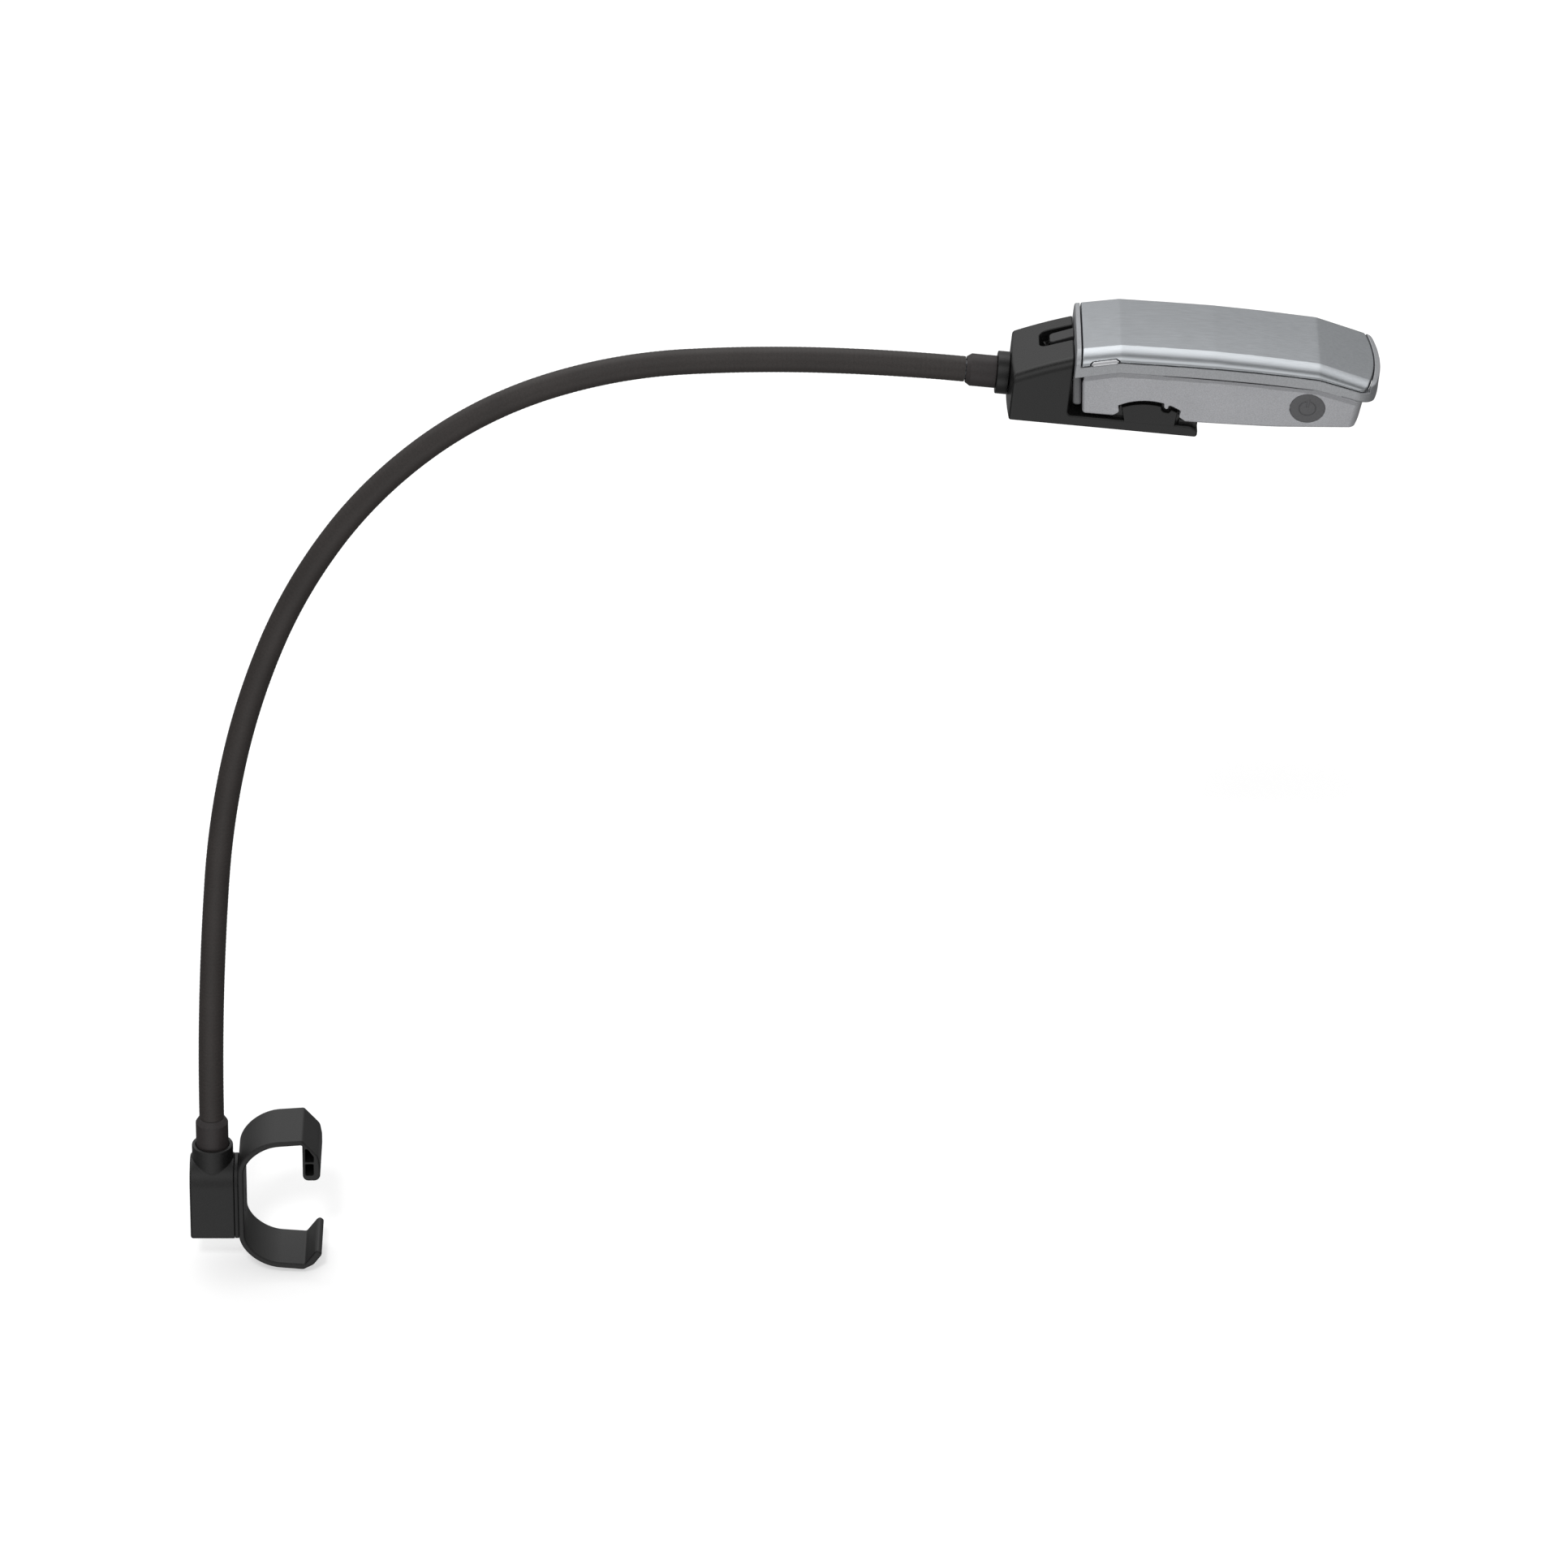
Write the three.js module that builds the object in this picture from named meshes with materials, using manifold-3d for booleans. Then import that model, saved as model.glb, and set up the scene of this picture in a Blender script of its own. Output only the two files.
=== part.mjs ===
// A clip-on reading lamp with a battery head: a C-shaped snap clip for an oval rail, a swivelling
// socket block, a gooseneck, a cradle, and a lamp head that lifts off the cradle.
//
// Millimetres, +Z up. The origin is the middle of the clip's inner space, on the rail's axis, which
// runs along Y. X points to the clip's mouth and to the lamp head. The lamp is upright at Y = 0.

import * as THREE from 'three';
import { mergeVertices } from 'three/addons/utils/BufferGeometryUtils.js';
import Module from 'manifold-3d';

const wasm = await Module();
wasm.setup();

// ---- Driving dimensions -------------------------------------------------------------------------

const GAP = 0.3; // between neighbouring pieces

const CLIP = {
  depth: 22, // along the rail
  wall: 1.9,
  spineX: -11.4, // inner face of the spine
  straightZ: 11, // half length of the flat spine
  armZ: 22, // half height inside, at the mouth
  cornerX: 0, // where the round corner runs into an arm
  cornerZ: 21.4,
  armEndX: 7.6, // where an arm turns into its jaw or lip
  frontX: 13.2,
  jawBottomZ: 9,
  jawInnerWall: 0.8,
  jawOuterWall: 2.2,
  noseRadius: 2,
  pockets: [[10.8, 13.8], [14.6, 17], [17.8, 20.4]], // the jaw's cored pockets, from z to z
  pocketDepth: 8,
  edge: 0.35,
};

const BLOCK = {
  left: -28.9,
  right: -14.7,
  radius: 8.5, // of the round top, about an axis along X
  centreZ: 3.6,
  bottomZ: -14.2,
  edge: 0.8,
  plate: 0.8, // friction plate between the block and the clip
};

// The swivel screw runs along X through the clip's spine into a nut in the block.
const SWIVEL = { z: -4.5, hole: 1.9, shank: 1.5, head: 3.1, nut: 3.1, nutLeft: -24.5, nutRight: -19.5 };

const NECK = {
  x: -21.6,
  startZ: 26.4,
  length: 434,
  outer: 4,
  inner: 3.3,
  core: 2.9,
  relief: 15.5, // degrees that each end is coned back, so that a joint can bend
  // how far each equal stretch turns from upright towards the lamp head, in degrees
  turns: [2.4, 2.1, 7.7, 9.3, 13.4, 16.6, 19.3, 15.8, 5.4, 4.0],
};

const COLLAR = { radius: 6.6, topZ: 16.7 };
const FERRULE = { radius: 5.05, bottomZ: 4, depth: 8 };
const SET_SCREW = { radius: 1.55, hole: 1.9, z: 8, from: 5.5, to: 7.6 };

// The lamp head's own frame starts at the end of the neck, with x along it and z up.
const UPPER = { ferruleEnd: 9, collarEnd: 12, collarRadius: 6.6, studEnd: 23.5, studRadius: 3.4 };

const CRADLE = {
  halfWidth: 15.75,
  left: 12.3, // at the middle of the convex left face
  leftBulge: 1.6,
  wallRight: 31.4,
  topLeftZ: 6.26,
  topBulge: 0.35,
  topRightZ: 14.2,
  bottomLeftZ: -8.3,
  bottomRightZ: -8.2,
  floorZ: -4.8,
  padX: 67.2,
  padZ: -3.5,
  right: 72.7,
  edge: 0.7,
};

const SLIDER = {
  y: 3.4,
  width: 6,
  corner: 1.3,
  slotWidth: 10,
  slotCorner: 2.6,
  length: 7,
  low: -3.1, // heights from the cradle's sloping top
  high: -0.6,
  travel: 3,
};
const RELEASE_SPRING = { radius: 1.1, wire: 0.25, turns: 4, length: 7.6, hole: 1.7, z: -1.9 };
const LOCK_SCREW = { x: 19, low: -7, high: -3.8 };

// The round hump on each side of the cradle, and the notch in its top.
const HUMP = {
  centreX: 57,
  radius: 20.8,
  topZ: 1.46,
  left: 48.5,
  right: 65.8,
  footLeft: 49.9,
  footRight: 65.3,
  cheek: 2.3,
  notch: [[63.9, 0.3], [63, -0.85], [61.4, -0.6], [60.8, 0.3]],
};
// The notch in the lower housing that fits over the hump, with the tooth that fits in the hump's notch.
const ARCH = {
  clear: 1.1,
  left: 47.2,
  right: 66.8,
  footLeft: 48.2,
  footRight: 66.2,
  tooth: [[63.4, 2], [62.8, 0.9], [61.9, 0.6], [61.4, 1.6]],
};

// Stations along the lamp head: the seam between the rim and the battery cover, and the cover's top.
const STATIONS = [
  { x: 32.2, seam: 13.5, top: 18.1 },
  { x: 45.9, seam: 16.8, top: 21.0 },
  { x: 107.6, seam: 16.8, top: 21.0 },
  { x: 128.0, seam: 12.9, top: 15.8 },
];

const HEAD = {
  halfWidth: 20.2,
  left: 32.2,
  endPlate: 1.8,
  right: 127.5, // at the middle of the convex end
  endBulge: 3,
  coverEnd: 125.4,
  rimHeight: 3.6,
  rimWall: 2,
  edgeRadius: 4.2,
  coverWall: 1.4,
};

const HOUSING = {
  left: 35.8,
  topHalf: 19.9,
  bandHalf: 18.5,
  bottomHalf: 16.2,
  band: 2.6, // height of the sloping band under the rim
  wall: 1.6,
  right: 124.6,
  rake: 1.6, // how far the right end leans in towards the bottom
  bottom: [
    [33, -3.4],
    [72, -3.1],
    [96, -2.1],
    [128, 1.0],
  ],
};

const BUTTON = { x: 105.4, z: 6.1, radius: 5.35, length: 2.4, draft: 9.4 };
const CATCH = { x: 37.3, length: 8, height: 2, thick: 1.4 };
const CELL = { radius: 5.2, length: 44, x: 48.5, z: 11.4, pitch: 10.8 };
const LIGHT = { left: 98, right: 118, halfWidth: 8 };
const LED = { first: 102, pitch: 6, half: 1.4, low: 4.4, high: 5.3 };
const CUP = { bottom: 1, mouth: 3, throat: 2.3 }; // the reflector's cups
const REFLECTOR = { low: [99, -7.4, 1.2], high: [117, 7.4, 5.2] };
const LENS = { half: [9.6, 7.6], thick: 1.2 };
const PAD = { left: 32.3, right: 35.4, low: -0.8, high: 8.6, chamfer: 0.9, depth: 31, edge: 0.4 };
const TRAY = { left: 45.5, right: 95.5, half: 15, floor: 5.9, thick: 1.2 };
const BOARD = { left: 97.5, right: 118, half: 13.2, low: 5.6, high: 6.6 };
const BOSS = { radius: 2.6, hole: 1.4 };
const SMALL_SCREW = { head: 1.9, headHeight: 0.9, shank: 1.05, reach: 3 };
// Posts of the lower housing that take the tray's and the board's screws: x, y and top.
const BOSSES = [
  [62, 5.4, TRAY.floor - TRAY.thick - GAP],
  [80, -5.4, TRAY.floor - TRAY.thick - GAP],
  [100.5, 10.9, BOARD.low - GAP],
  [115, 10.9, BOARD.low - GAP],
];

// ---- Colours ------------------------------------------------------------------------------------

const material = (color, roughness, metalness = 0) =>
  new THREE.MeshStandardMaterial({ color, roughness, metalness });

const BLACK = () => material(0x1d1d1e, 0.55);
const SLEEVE = () => material(0x2b2827, 0.6);
const SILVER = () => material(0x9a9c9f, 0.45, 0.6);
const SATIN = () => material(0xa6abaf, 0.3, 0.8);
const STEEL = () => material(0xb9bcc0, 0.35, 0.95);
const GREY = () => material(0x5c5d60, 0.6);
const GREEN = () => material(0x1f4a33, 0.5);
const CLEAR = () => material(0xe9eef2, 0.1);
const LAMP = () => material(0xf2e9b8, 0.3);

// ---- Solids -------------------------------------------------------------------------------------

const AXES = {
  x: new THREE.Matrix4().makeBasis(
    new THREE.Vector3(0, 1, 0),
    new THREE.Vector3(0, 0, 1),
    new THREE.Vector3(1, 0, 0),
  ),
  y: new THREE.Matrix4().makeRotationX(Math.PI / 2),
};

// A closed three.js geometry as a solid that can be joined and cut.
function solid(geometry) {
  const bare = geometry.index ? geometry.toNonIndexed() : geometry.clone();
  for (const name of Object.keys(bare.attributes)) {
    if (name !== 'position') {
      bare.deleteAttribute(name);
    }
  }
  const merged = mergeVertices(bare, 1e-4);
  return new wasm.Manifold(
    new wasm.Mesh({
      numProp: 3,
      vertProperties: merged.attributes.position.array,
      triVerts: new Uint32Array(merged.index.array),
    }),
  );
}

function geometryOf(made) {
  const mesh = made.getMesh();
  const geometry = new THREE.BufferGeometry();
  geometry.setAttribute('position', new THREE.BufferAttribute(mesh.vertProperties, 3));
  geometry.setIndex(new THREE.BufferAttribute(mesh.triVerts, 1));
  return geometry;
}

const shapeOf = (points) => new THREE.Shape(points.map(([a, b]) => new THREE.Vector2(a, b)));

// Points on an arc about (cx, cy), angles in degrees.
function arc(cx, cy, radius, from, to, steps) {
  const points = [];
  for (let i = 0; i <= steps; i++) {
    const angle = THREE.MathUtils.degToRad(from + ((to - from) * i) / steps);
    points.push([cx + radius * Math.cos(angle), cy + radius * Math.sin(angle)]);
  }
  return points;
}

// A shape drawn in XZ and extruded along Y, from y - depth / 2 to y + depth / 2.
function alongY(shape, depth, y = 0, bevel = 0) {
  const geometry = new THREE.ExtrudeGeometry(shape, {
    depth: depth - 2 * bevel,
    bevelEnabled: bevel > 0,
    bevelThickness: bevel,
    bevelSize: bevel,
    bevelOffset: -bevel,
    bevelSegments: 2,
    curveSegments: 8,
  });
  geometry.translate(0, 0, bevel);
  return solid(geometry.applyMatrix4(AXES.y).translate(0, y + depth / 2, 0));
}

// A shape drawn in YZ and extruded along X, between two values of x.
function alongX(shape, from, to, bevel = 0) {
  const geometry = new THREE.ExtrudeGeometry(shape, {
    depth: to - from - 2 * bevel,
    bevelEnabled: bevel > 0,
    bevelThickness: bevel,
    bevelSize: bevel,
    bevelOffset: -bevel,
    bevelSegments: 2,
    curveSegments: 8,
  });
  geometry.translate(0, 0, bevel);
  return solid(geometry.applyMatrix4(AXES.x).translate(from, 0, 0));
}

// A shape drawn in XY and extruded up, between two heights.
function alongZ(shape, from, to) {
  const geometry = new THREE.ExtrudeGeometry(shape, { depth: to - from, bevelEnabled: false });
  return solid(geometry.translate(0, 0, from));
}

// A box between two corners.
function box(low, high) {
  const size = high.map((value, i) => value - low[i]);
  const middle = high.map((value, i) => (value + low[i]) / 2);
  return solid(new THREE.BoxGeometry(...size).translate(...middle));
}

// A round bar along an axis, between two places on it; the other two coordinates are its centre.
function bar(axis, radius, from, to, centre = [0, 0], sides = 16) {
  const outline = shapeOf(arc(0, 0, radius, 0, 360 - 360 / sides, sides - 1));
  const geometry = new THREE.ExtrudeGeometry(outline, { depth: to - from, bevelEnabled: false });
  const [a, b] = centre;
  if (axis === 'x') {
    return solid(geometry.applyMatrix4(AXES.x).translate(from, a, b));
  }
  if (axis === 'y') {
    return solid(geometry.applyMatrix4(AXES.y).translate(a, to, b));
  }
  return solid(geometry.translate(a, b, from));
}

// A turned piece about X: the profile is a list of [x, radius] from axis to axis.
function turned(profile, sides = 16) {
  const points = profile.map(([x, r]) => new THREE.Vector2(r, x));
  const lathe = new THREE.LatheGeometry(points, sides);
  return solid(lathe.rotateZ(-Math.PI / 2));
}

// ---- Scene graph --------------------------------------------------------------------------------

const lamp = new THREE.Group();
const head = new THREE.Group();

function add(name, made, finish, group = lamp) {
  const mesh = new THREE.Mesh(geometryOf(made), finish);
  mesh.name = name;
  group.add(mesh);
  return mesh;
}

// ---- The clip -----------------------------------------------------------------------------------

// The inner outline of one arm, from the spine to where the arm turns; side is 1 above, -1 below.
function armInside(side) {
  const corner = new THREE.CubicBezierCurve(
    new THREE.Vector2(CLIP.spineX, CLIP.straightZ),
    new THREE.Vector2(CLIP.spineX, CLIP.straightZ + 4.6),
    new THREE.Vector2(CLIP.cornerX - 6, CLIP.cornerZ - 0.5),
    new THREE.Vector2(CLIP.cornerX, CLIP.cornerZ),
  );
  const points = corner.getPoints(7).map((p) => [p.x, side * p.y]);
  points.push([CLIP.armEndX, side * CLIP.armZ]);
  return points;
}

// The same outline moved out by the wall.
function armOutside(side) {
  const inside = armInside(1);
  return inside.map(([x, z], i) => {
    const before = inside[Math.max(i - 1, 0)];
    const after = inside[Math.min(i + 1, inside.length - 1)];
    const run = i === 0 ? [0, 1] : [after[0] - before[0], after[1] - before[1]];
    const length = Math.hypot(...run);
    return [x - (run[1] / length) * CLIP.wall, side * (z + (run[0] / length) * CLIP.wall)];
  });
}

// The rounded end of the top arm, down to the jaw's front.
const SHOULDER = [
  [6.4, 23.8],
  [8.6, 23.3],
  [10.6, 21.8],
  [12.6, 19.2],
  [CLIP.frontX, 17],
];

// The lip, from its inner side over its tip and down to the bottom arm.
const LIP = [
  [10.9, -17.4],
  [11.5, -17],
  [12.4, -17],
  [CLIP.frontX, -18],
  [12.9, -18.6],
  [11.6, -21],
  [9.2, -23.3],
  [6.4, -CLIP.armZ - CLIP.wall],
];

function clipOutline() {
  const { armEndX, frontX, jawBottomZ, noseRadius } = CLIP;
  const noseZ = jawBottomZ + noseRadius;
  const around = [
    ...armOutside(1).slice(0, -1),
    ...SHOULDER,
    ...arc(frontX - noseRadius, noseZ, noseRadius, 0, -90, 3),
    ...arc(armEndX + noseRadius, noseZ, noseRadius, -90, -180, 3),
    ...armInside(1).reverse(),
    ...armInside(-1),
    ...LIP,
    ...armOutside(-1).slice(0, -1).reverse(),
  ];
  return shapeOf(around.reverse());
}

// One cored pocket of the jaw, open to one face of the clip.
function jawPocket(bottomZ, topZ, side) {
  const left = CLIP.armEndX + CLIP.jawInnerWall;
  const right = CLIP.frontX - CLIP.jawOuterWall;
  const outside = (side * (CLIP.depth + 1)) / 2;
  const inside = side * (CLIP.depth / 2 - CLIP.pocketDepth);
  return box(
    [left, Math.min(outside, inside), bottomZ],
    [right, Math.max(outside, inside), topZ],
  );
}

function tubeClip() {
  let clip = alongY(clipOutline(), CLIP.depth, 0, CLIP.edge);
  for (const side of [-1, 1]) {
    for (const [bottomZ, topZ] of CLIP.pockets) {
      clip = clip.subtract(jawPocket(bottomZ, topZ, side));
    }
  }
  const left = CLIP.spineX - CLIP.wall - 1;
  const bore = bar('x', SWIVEL.hole, left, CLIP.spineX, [0, SWIVEL.z]);
  const sink = turned([[-1.4, 0], [-1.4, 2], [0.05, 4.2], [1, 4.2], [1, 0]]);
  return clip.subtract(bore).subtract(sink.translate(CLIP.spineX, 0, SWIVEL.z));
}

add('tube_clip', tubeClip(), BLACK());

// The countersunk swivel screw, along X from the spine's inner face.
const swivelScrew = turned([
  [-11, 0],
  [-11, SWIVEL.shank],
  [-1.3, SWIVEL.shank],
  [-0.3, SWIVEL.head],
  [-0.1, SWIVEL.head],
  [-0.1, 0],
]);
add('swivel_screw', swivelScrew.translate(CLIP.spineX, 0, SWIVEL.z), STEEL());

// ---- The socket block ---------------------------------------------------------------------------

// The block's outline in YZ: flat sides and bottom under a half-round top.
function blockOutline(inset) {
  const radius = BLOCK.radius - inset;
  const bottom = BLOCK.bottomZ + inset;
  return shapeOf([
    [-radius + 1, bottom],
    [radius - 1, bottom],
    [radius, bottom + 1],
    ...arc(0, BLOCK.centreZ, radius, 0, 180, 12),
    [-radius, bottom + 1],
  ]);
}

function socketBlock() {
  const { left, right, radius, centreZ, edge } = BLOCK;
  const collar = bar('z', COLLAR.radius, centreZ, COLLAR.topZ, [NECK.x, 0], 28);
  const bore = bar(
    'z', FERRULE.radius + GAP, FERRULE.bottomZ - GAP, COLLAR.topZ + 1, [NECK.x, 0], 20);
  const nutEnd = SWIVEL.nutRight + 0.5;
  const nutReach = SWIVEL.nut + 0.5;
  const screwHole = bar('x', SWIVEL.hole, SWIVEL.nutLeft + 0.5, right + 1, [0, SWIVEL.z]);
  const nutHole = bar('x', SWIVEL.nut + GAP, left + 2, nutEnd, [0, SWIVEL.z], 6);
  const nutSlot = box(
    [left + 2, 0, SWIVEL.z - nutReach], [nutEnd, radius + 1, SWIVEL.z + nutReach]);
  const setScrewHole = bar('y', SET_SCREW.hole, 0, radius + 1, [NECK.x, SET_SCREW.z]);
  return alongX(blockOutline(0), left, right, edge)
    .add(collar)
    .subtract(bore)
    .subtract(screwHole)
    .subtract(nutHole)
    .subtract(nutSlot)
    .subtract(setScrewHole);
}

add('socket_block', socketBlock(), BLACK());

const plateLeft = BLOCK.right + GAP;
const plate = alongX(blockOutline(0.2), plateLeft, plateLeft + BLOCK.plate).subtract(
  bar('x', SWIVEL.hole, BLOCK.right, 0, [0, SWIVEL.z]));
add('friction_plate', plate, BLACK());

const nut = bar('x', SWIVEL.nut, SWIVEL.nutLeft, SWIVEL.nutRight, [0, SWIVEL.z], 6);
const thread = bar('x', SWIVEL.hole - 0.05, SWIVEL.nutLeft - 1, 0, [0, SWIVEL.z]);
add('swivel_nut', nut.subtract(thread), STEEL());

const { from: setFrom, to: setTo } = SET_SCREW;
add('neck_set_screw', bar('y', SET_SCREW.radius, setFrom, setTo, [NECK.x, SET_SCREW.z], 12), STEEL());

// ---- Ferrules and the gooseneck -----------------------------------------------------------------

function lowerFerrule() {
  const top = NECK.startZ - 0.1;
  const profile = [
    [FERRULE.bottomZ, 0],
    [FERRULE.bottomZ, FERRULE.radius],
    [top - 1.6, FERRULE.radius],
    [top - 0.5, FERRULE.radius - 0.5],
    [top, NECK.outer + 0.1],
    [top, NECK.core + GAP],
    [top - FERRULE.depth, NECK.core + GAP],
    [top - FERRULE.depth, 0],
  ];
  return turned(profile, 20).rotate([0, -90, 0]).translate(NECK.x, 0, 0);
}

add('lower_ferrule', lowerFerrule(), SLEEVE());

const stretch = NECK.length / NECK.turns.length;

// A bar of constant curvature that starts at the origin along +X and turns down by the given
// degrees. A coned end is cut back about the point where the neck bends, so that it can bend there.
function neckStretch(turn, outline, from, to, coned) {
  const angle = THREE.MathUtils.degToRad(turn);
  const radius = stretch / angle;
  class Route extends THREE.Curve {
    getPoint(t, target = new THREE.Vector3()) {
      const at = (from + (to - from) * t) / radius;
      return target.set(radius * Math.sin(at), 0, -radius * (1 - Math.cos(at)));
    }
  }
  const geometry = new THREE.ExtrudeGeometry(outline, {
    extrudePath: new Route(),
    steps: Math.max(2, Math.ceil(turn / 5)),
    bevelEnabled: false,
  });
  if (coned.start) {
    coneEnd(geometry, new THREE.Matrix4(), 1);
  }
  if (coned.end) {
    const end = new THREE.Matrix4().makeRotationY(angle);
    end.setPosition(radius * Math.sin(angle), 0, -radius * (1 - Math.cos(angle)));
    coneEnd(geometry, end, -1);
  }
  return solid(geometry);
}

// Moves the vertices that lie on the frame's YZ plane back along its X axis, more the further out
// they are; side is 1 at a bar's start and -1 at its end.
function coneEnd(geometry, frame, side) {
  const back = frame.clone().invert();
  const position = geometry.attributes.position;
  const point = new THREE.Vector3();
  for (let i = 0; i < position.count; i++) {
    point.fromBufferAttribute(position, i).applyMatrix4(back);
    if (Math.abs(point.x) > 1e-3) {
      continue;
    }
    const cut = Math.hypot(point.y, point.z) * Math.tan(THREE.MathUtils.degToRad(NECK.relief));
    point.x = side * (GAP / 2 + cut);
    point.applyMatrix4(frame);
    position.setXYZ(i, point.x, point.y, point.z);
  }
}

function ring(outer, inner, sides) {
  const outline = shapeOf(arc(0, 0, outer, 0, 360 - 360 / sides, sides - 1));
  if (inner) {
    const hole = arc(0, 0, inner, 0, 360 - 360 / sides, sides - 1);
    outline.holes.push(new THREE.Path(hole.map(([a, b]) => new THREE.Vector2(a, b))));
  }
  return outline;
}

// The stretches hang one on the next, so each group starts where the last stretch ends.
let joint = new THREE.Group();
joint.position.set(NECK.x, 0, NECK.startZ);
joint.rotation.y = -Math.PI / 2;
lamp.add(joint);

NECK.turns.forEach((turn, i) => {
  const coned = { start: i > 0, end: i < NECK.turns.length - 1 };
  const number = i + 1;
  const sleeveFrom = coned.start ? 0 : 0.2;
  const sleeveTo = coned.end ? stretch : stretch - 0.2;
  const coreFrom = coned.start ? 0 : -FERRULE.depth + GAP + 0.2;
  const coreTo = coned.end ? stretch : stretch + 5.5;
  const sleeve = neckStretch(turn, ring(NECK.outer, NECK.inner, 12), sleeveFrom, sleeveTo, coned);
  const core = neckStretch(turn, ring(NECK.core, 0, 8), coreFrom, coreTo, coned);
  add(`neck_sleeve_${number}`, sleeve, SLEEVE(), joint);
  add(`neck_core_${number}`, core, STEEL(), joint);
  const angle = THREE.MathUtils.degToRad(turn);
  const radius = stretch / angle;
  const next = new THREE.Group();
  next.position.set(radius * Math.sin(angle), 0, -radius * (1 - Math.cos(angle)));
  next.rotation.y = angle;
  joint.add(next);
  joint = next;
});

joint.add(head);

function upperFerrule() {
  return turned([
    [0.1, 0],
    [0.1, NECK.outer + 0.1],
    [0.6, UPPER.studRadius + 1.2],
    [1.6, 5],
    [UPPER.ferruleEnd, 5],
    [UPPER.ferruleEnd, UPPER.studRadius],
    [UPPER.studEnd, UPPER.studRadius],
    [UPPER.studEnd, 0],
  ], 20).subtract(bar('x', NECK.core + GAP, -1, 6.2, [0, 0]));
}

add('upper_ferrule', upperFerrule(), SLEEVE(), head);

const collarRing = turned([
  [UPPER.ferruleEnd + GAP, UPPER.studRadius + GAP],
  [UPPER.ferruleEnd + GAP, UPPER.collarRadius - 0.4],
  [UPPER.ferruleEnd + GAP + 0.4, UPPER.collarRadius],
  [UPPER.collarEnd, UPPER.collarRadius],
  [UPPER.collarEnd, UPPER.studRadius + GAP],
  [UPPER.ferruleEnd + GAP, UPPER.studRadius + GAP],
], 28);
add('neck_collar', collarRing, BLACK(), head);

// ---- The cradle ---------------------------------------------------------------------------------

const slope = Math.atan2(
  CRADLE.topRightZ - CRADLE.topLeftZ, CRADLE.wallRight - CRADLE.left);

// Places a solid made in the slide's frame, whose x runs up the cradle's sloping top.
const onSlope = (made) =>
  made
    .rotate([0, -THREE.MathUtils.radToDeg(slope), 0])
    .translate(CRADLE.wallRight, SLIDER.y, CRADLE.topRightZ);

function cradleSide() {
  const middleX = (CRADLE.wallRight + CRADLE.left) / 2;
  return shapeOf([
    [CRADLE.left, CRADLE.bottomLeftZ],
    [CRADLE.right - 1, CRADLE.bottomRightZ],
    [CRADLE.right, CRADLE.bottomRightZ + 1],
    [CRADLE.right, CRADLE.padZ],
    [CRADLE.padX, CRADLE.padZ],
    [CRADLE.padX - 1.6, CRADLE.floorZ],
    [CRADLE.wallRight + 1.2, CRADLE.floorZ],
    [CRADLE.wallRight, CRADLE.floorZ + 1.2],
    [CRADLE.wallRight, CRADLE.topRightZ],
    [middleX, (CRADLE.topRightZ + CRADLE.topLeftZ) / 2 + CRADLE.topBulge],
    [CRADLE.left, CRADLE.topLeftZ],
  ]);
}

// The side of the cradle's hump, or of the arch over it in the lower housing.
function humpOutline(sizes, clear, notch) {
  const centreZ = HUMP.topZ - HUMP.radius;
  const radius = HUMP.radius + clear;
  const top = (x) => [x, centreZ + Math.sqrt(radius * radius - (x - HUMP.centreX) ** 2)];
  const [first, last] = [notch[0][0], notch[notch.length - 1][0]];
  const steps = 6;
  const crown = [];
  for (let i = 0; i <= steps; i++) {
    crown.push(top(last + ((sizes.left - last) * i) / steps));
  }
  return shapeOf([
    [sizes.footLeft, CRADLE.floorZ - 1],
    [sizes.footRight, CRADLE.floorZ - 1],
    top(sizes.right),
    top(first),
    ...notch,
    ...crown,
  ]);
}

const hump = humpOutline(HUMP, 0, HUMP.notch);
const arch = humpOutline(ARCH, ARCH.clear, ARCH.tooth);

const cheekY = CRADLE.halfWidth - HUMP.cheek / 2;

// A tongue along X with two rounded corners at its left end.
function tongue(left, right, half, corner) {
  return shapeOf([
    ...arc(left + corner, half - corner, corner, 90, 180, 4),
    ...arc(left + corner, -half + corner, corner, 180, 270, 4),
    [right, -half],
    [right, half],
  ]);
}

// The cradle's plan, with its convex left face.
function cradlePlan() {
  const { left, leftBulge, halfWidth, right } = CRADLE;
  const radius = (halfWidth ** 2 + leftBulge ** 2) / (2 * leftBulge);
  const open = THREE.MathUtils.radToDeg(Math.asin(halfWidth / radius));
  return shapeOf([
    ...arc(left + radius, 0, radius, 180 - open, 180 + open, 8),
    [right + 1, -halfWidth],
    [right + 1, halfWidth],
  ]);
}

function cradle() {
  const slotEnd = -SLIDER.travel - SLIDER.length - GAP;
  let made = alongY(cradleSide(), 2 * CRADLE.halfWidth, 0, CRADLE.edge);
  for (const side of [-1, 1]) {
    made = made.add(alongY(hump, HUMP.cheek, side * cheekY));
  }
  const slot = alongZ(
    tongue(slotEnd, 2, SLIDER.slotWidth / 2, SLIDER.slotCorner), SLIDER.low - GAP, 4);
  const springHole = bar(
    'x', RELEASE_SPRING.hole, slotEnd - 5.3, slotEnd + 2, [0, RELEASE_SPRING.z], 12);
  const studHole = bar(
    'x', UPPER.studRadius + GAP, CRADLE.left - 1, UPPER.studEnd + GAP, [0, 0]);
  return made
    .intersect(alongZ(cradlePlan(), -20, 40))
    .subtract(onSlope(slot))
    .subtract(onSlope(springHole))
    .subtract(studHole)
    .subtract(bar('z', 1.8, CRADLE.bottomLeftZ - 1, 0, [LOCK_SCREW.x, 0], 12));
}

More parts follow.
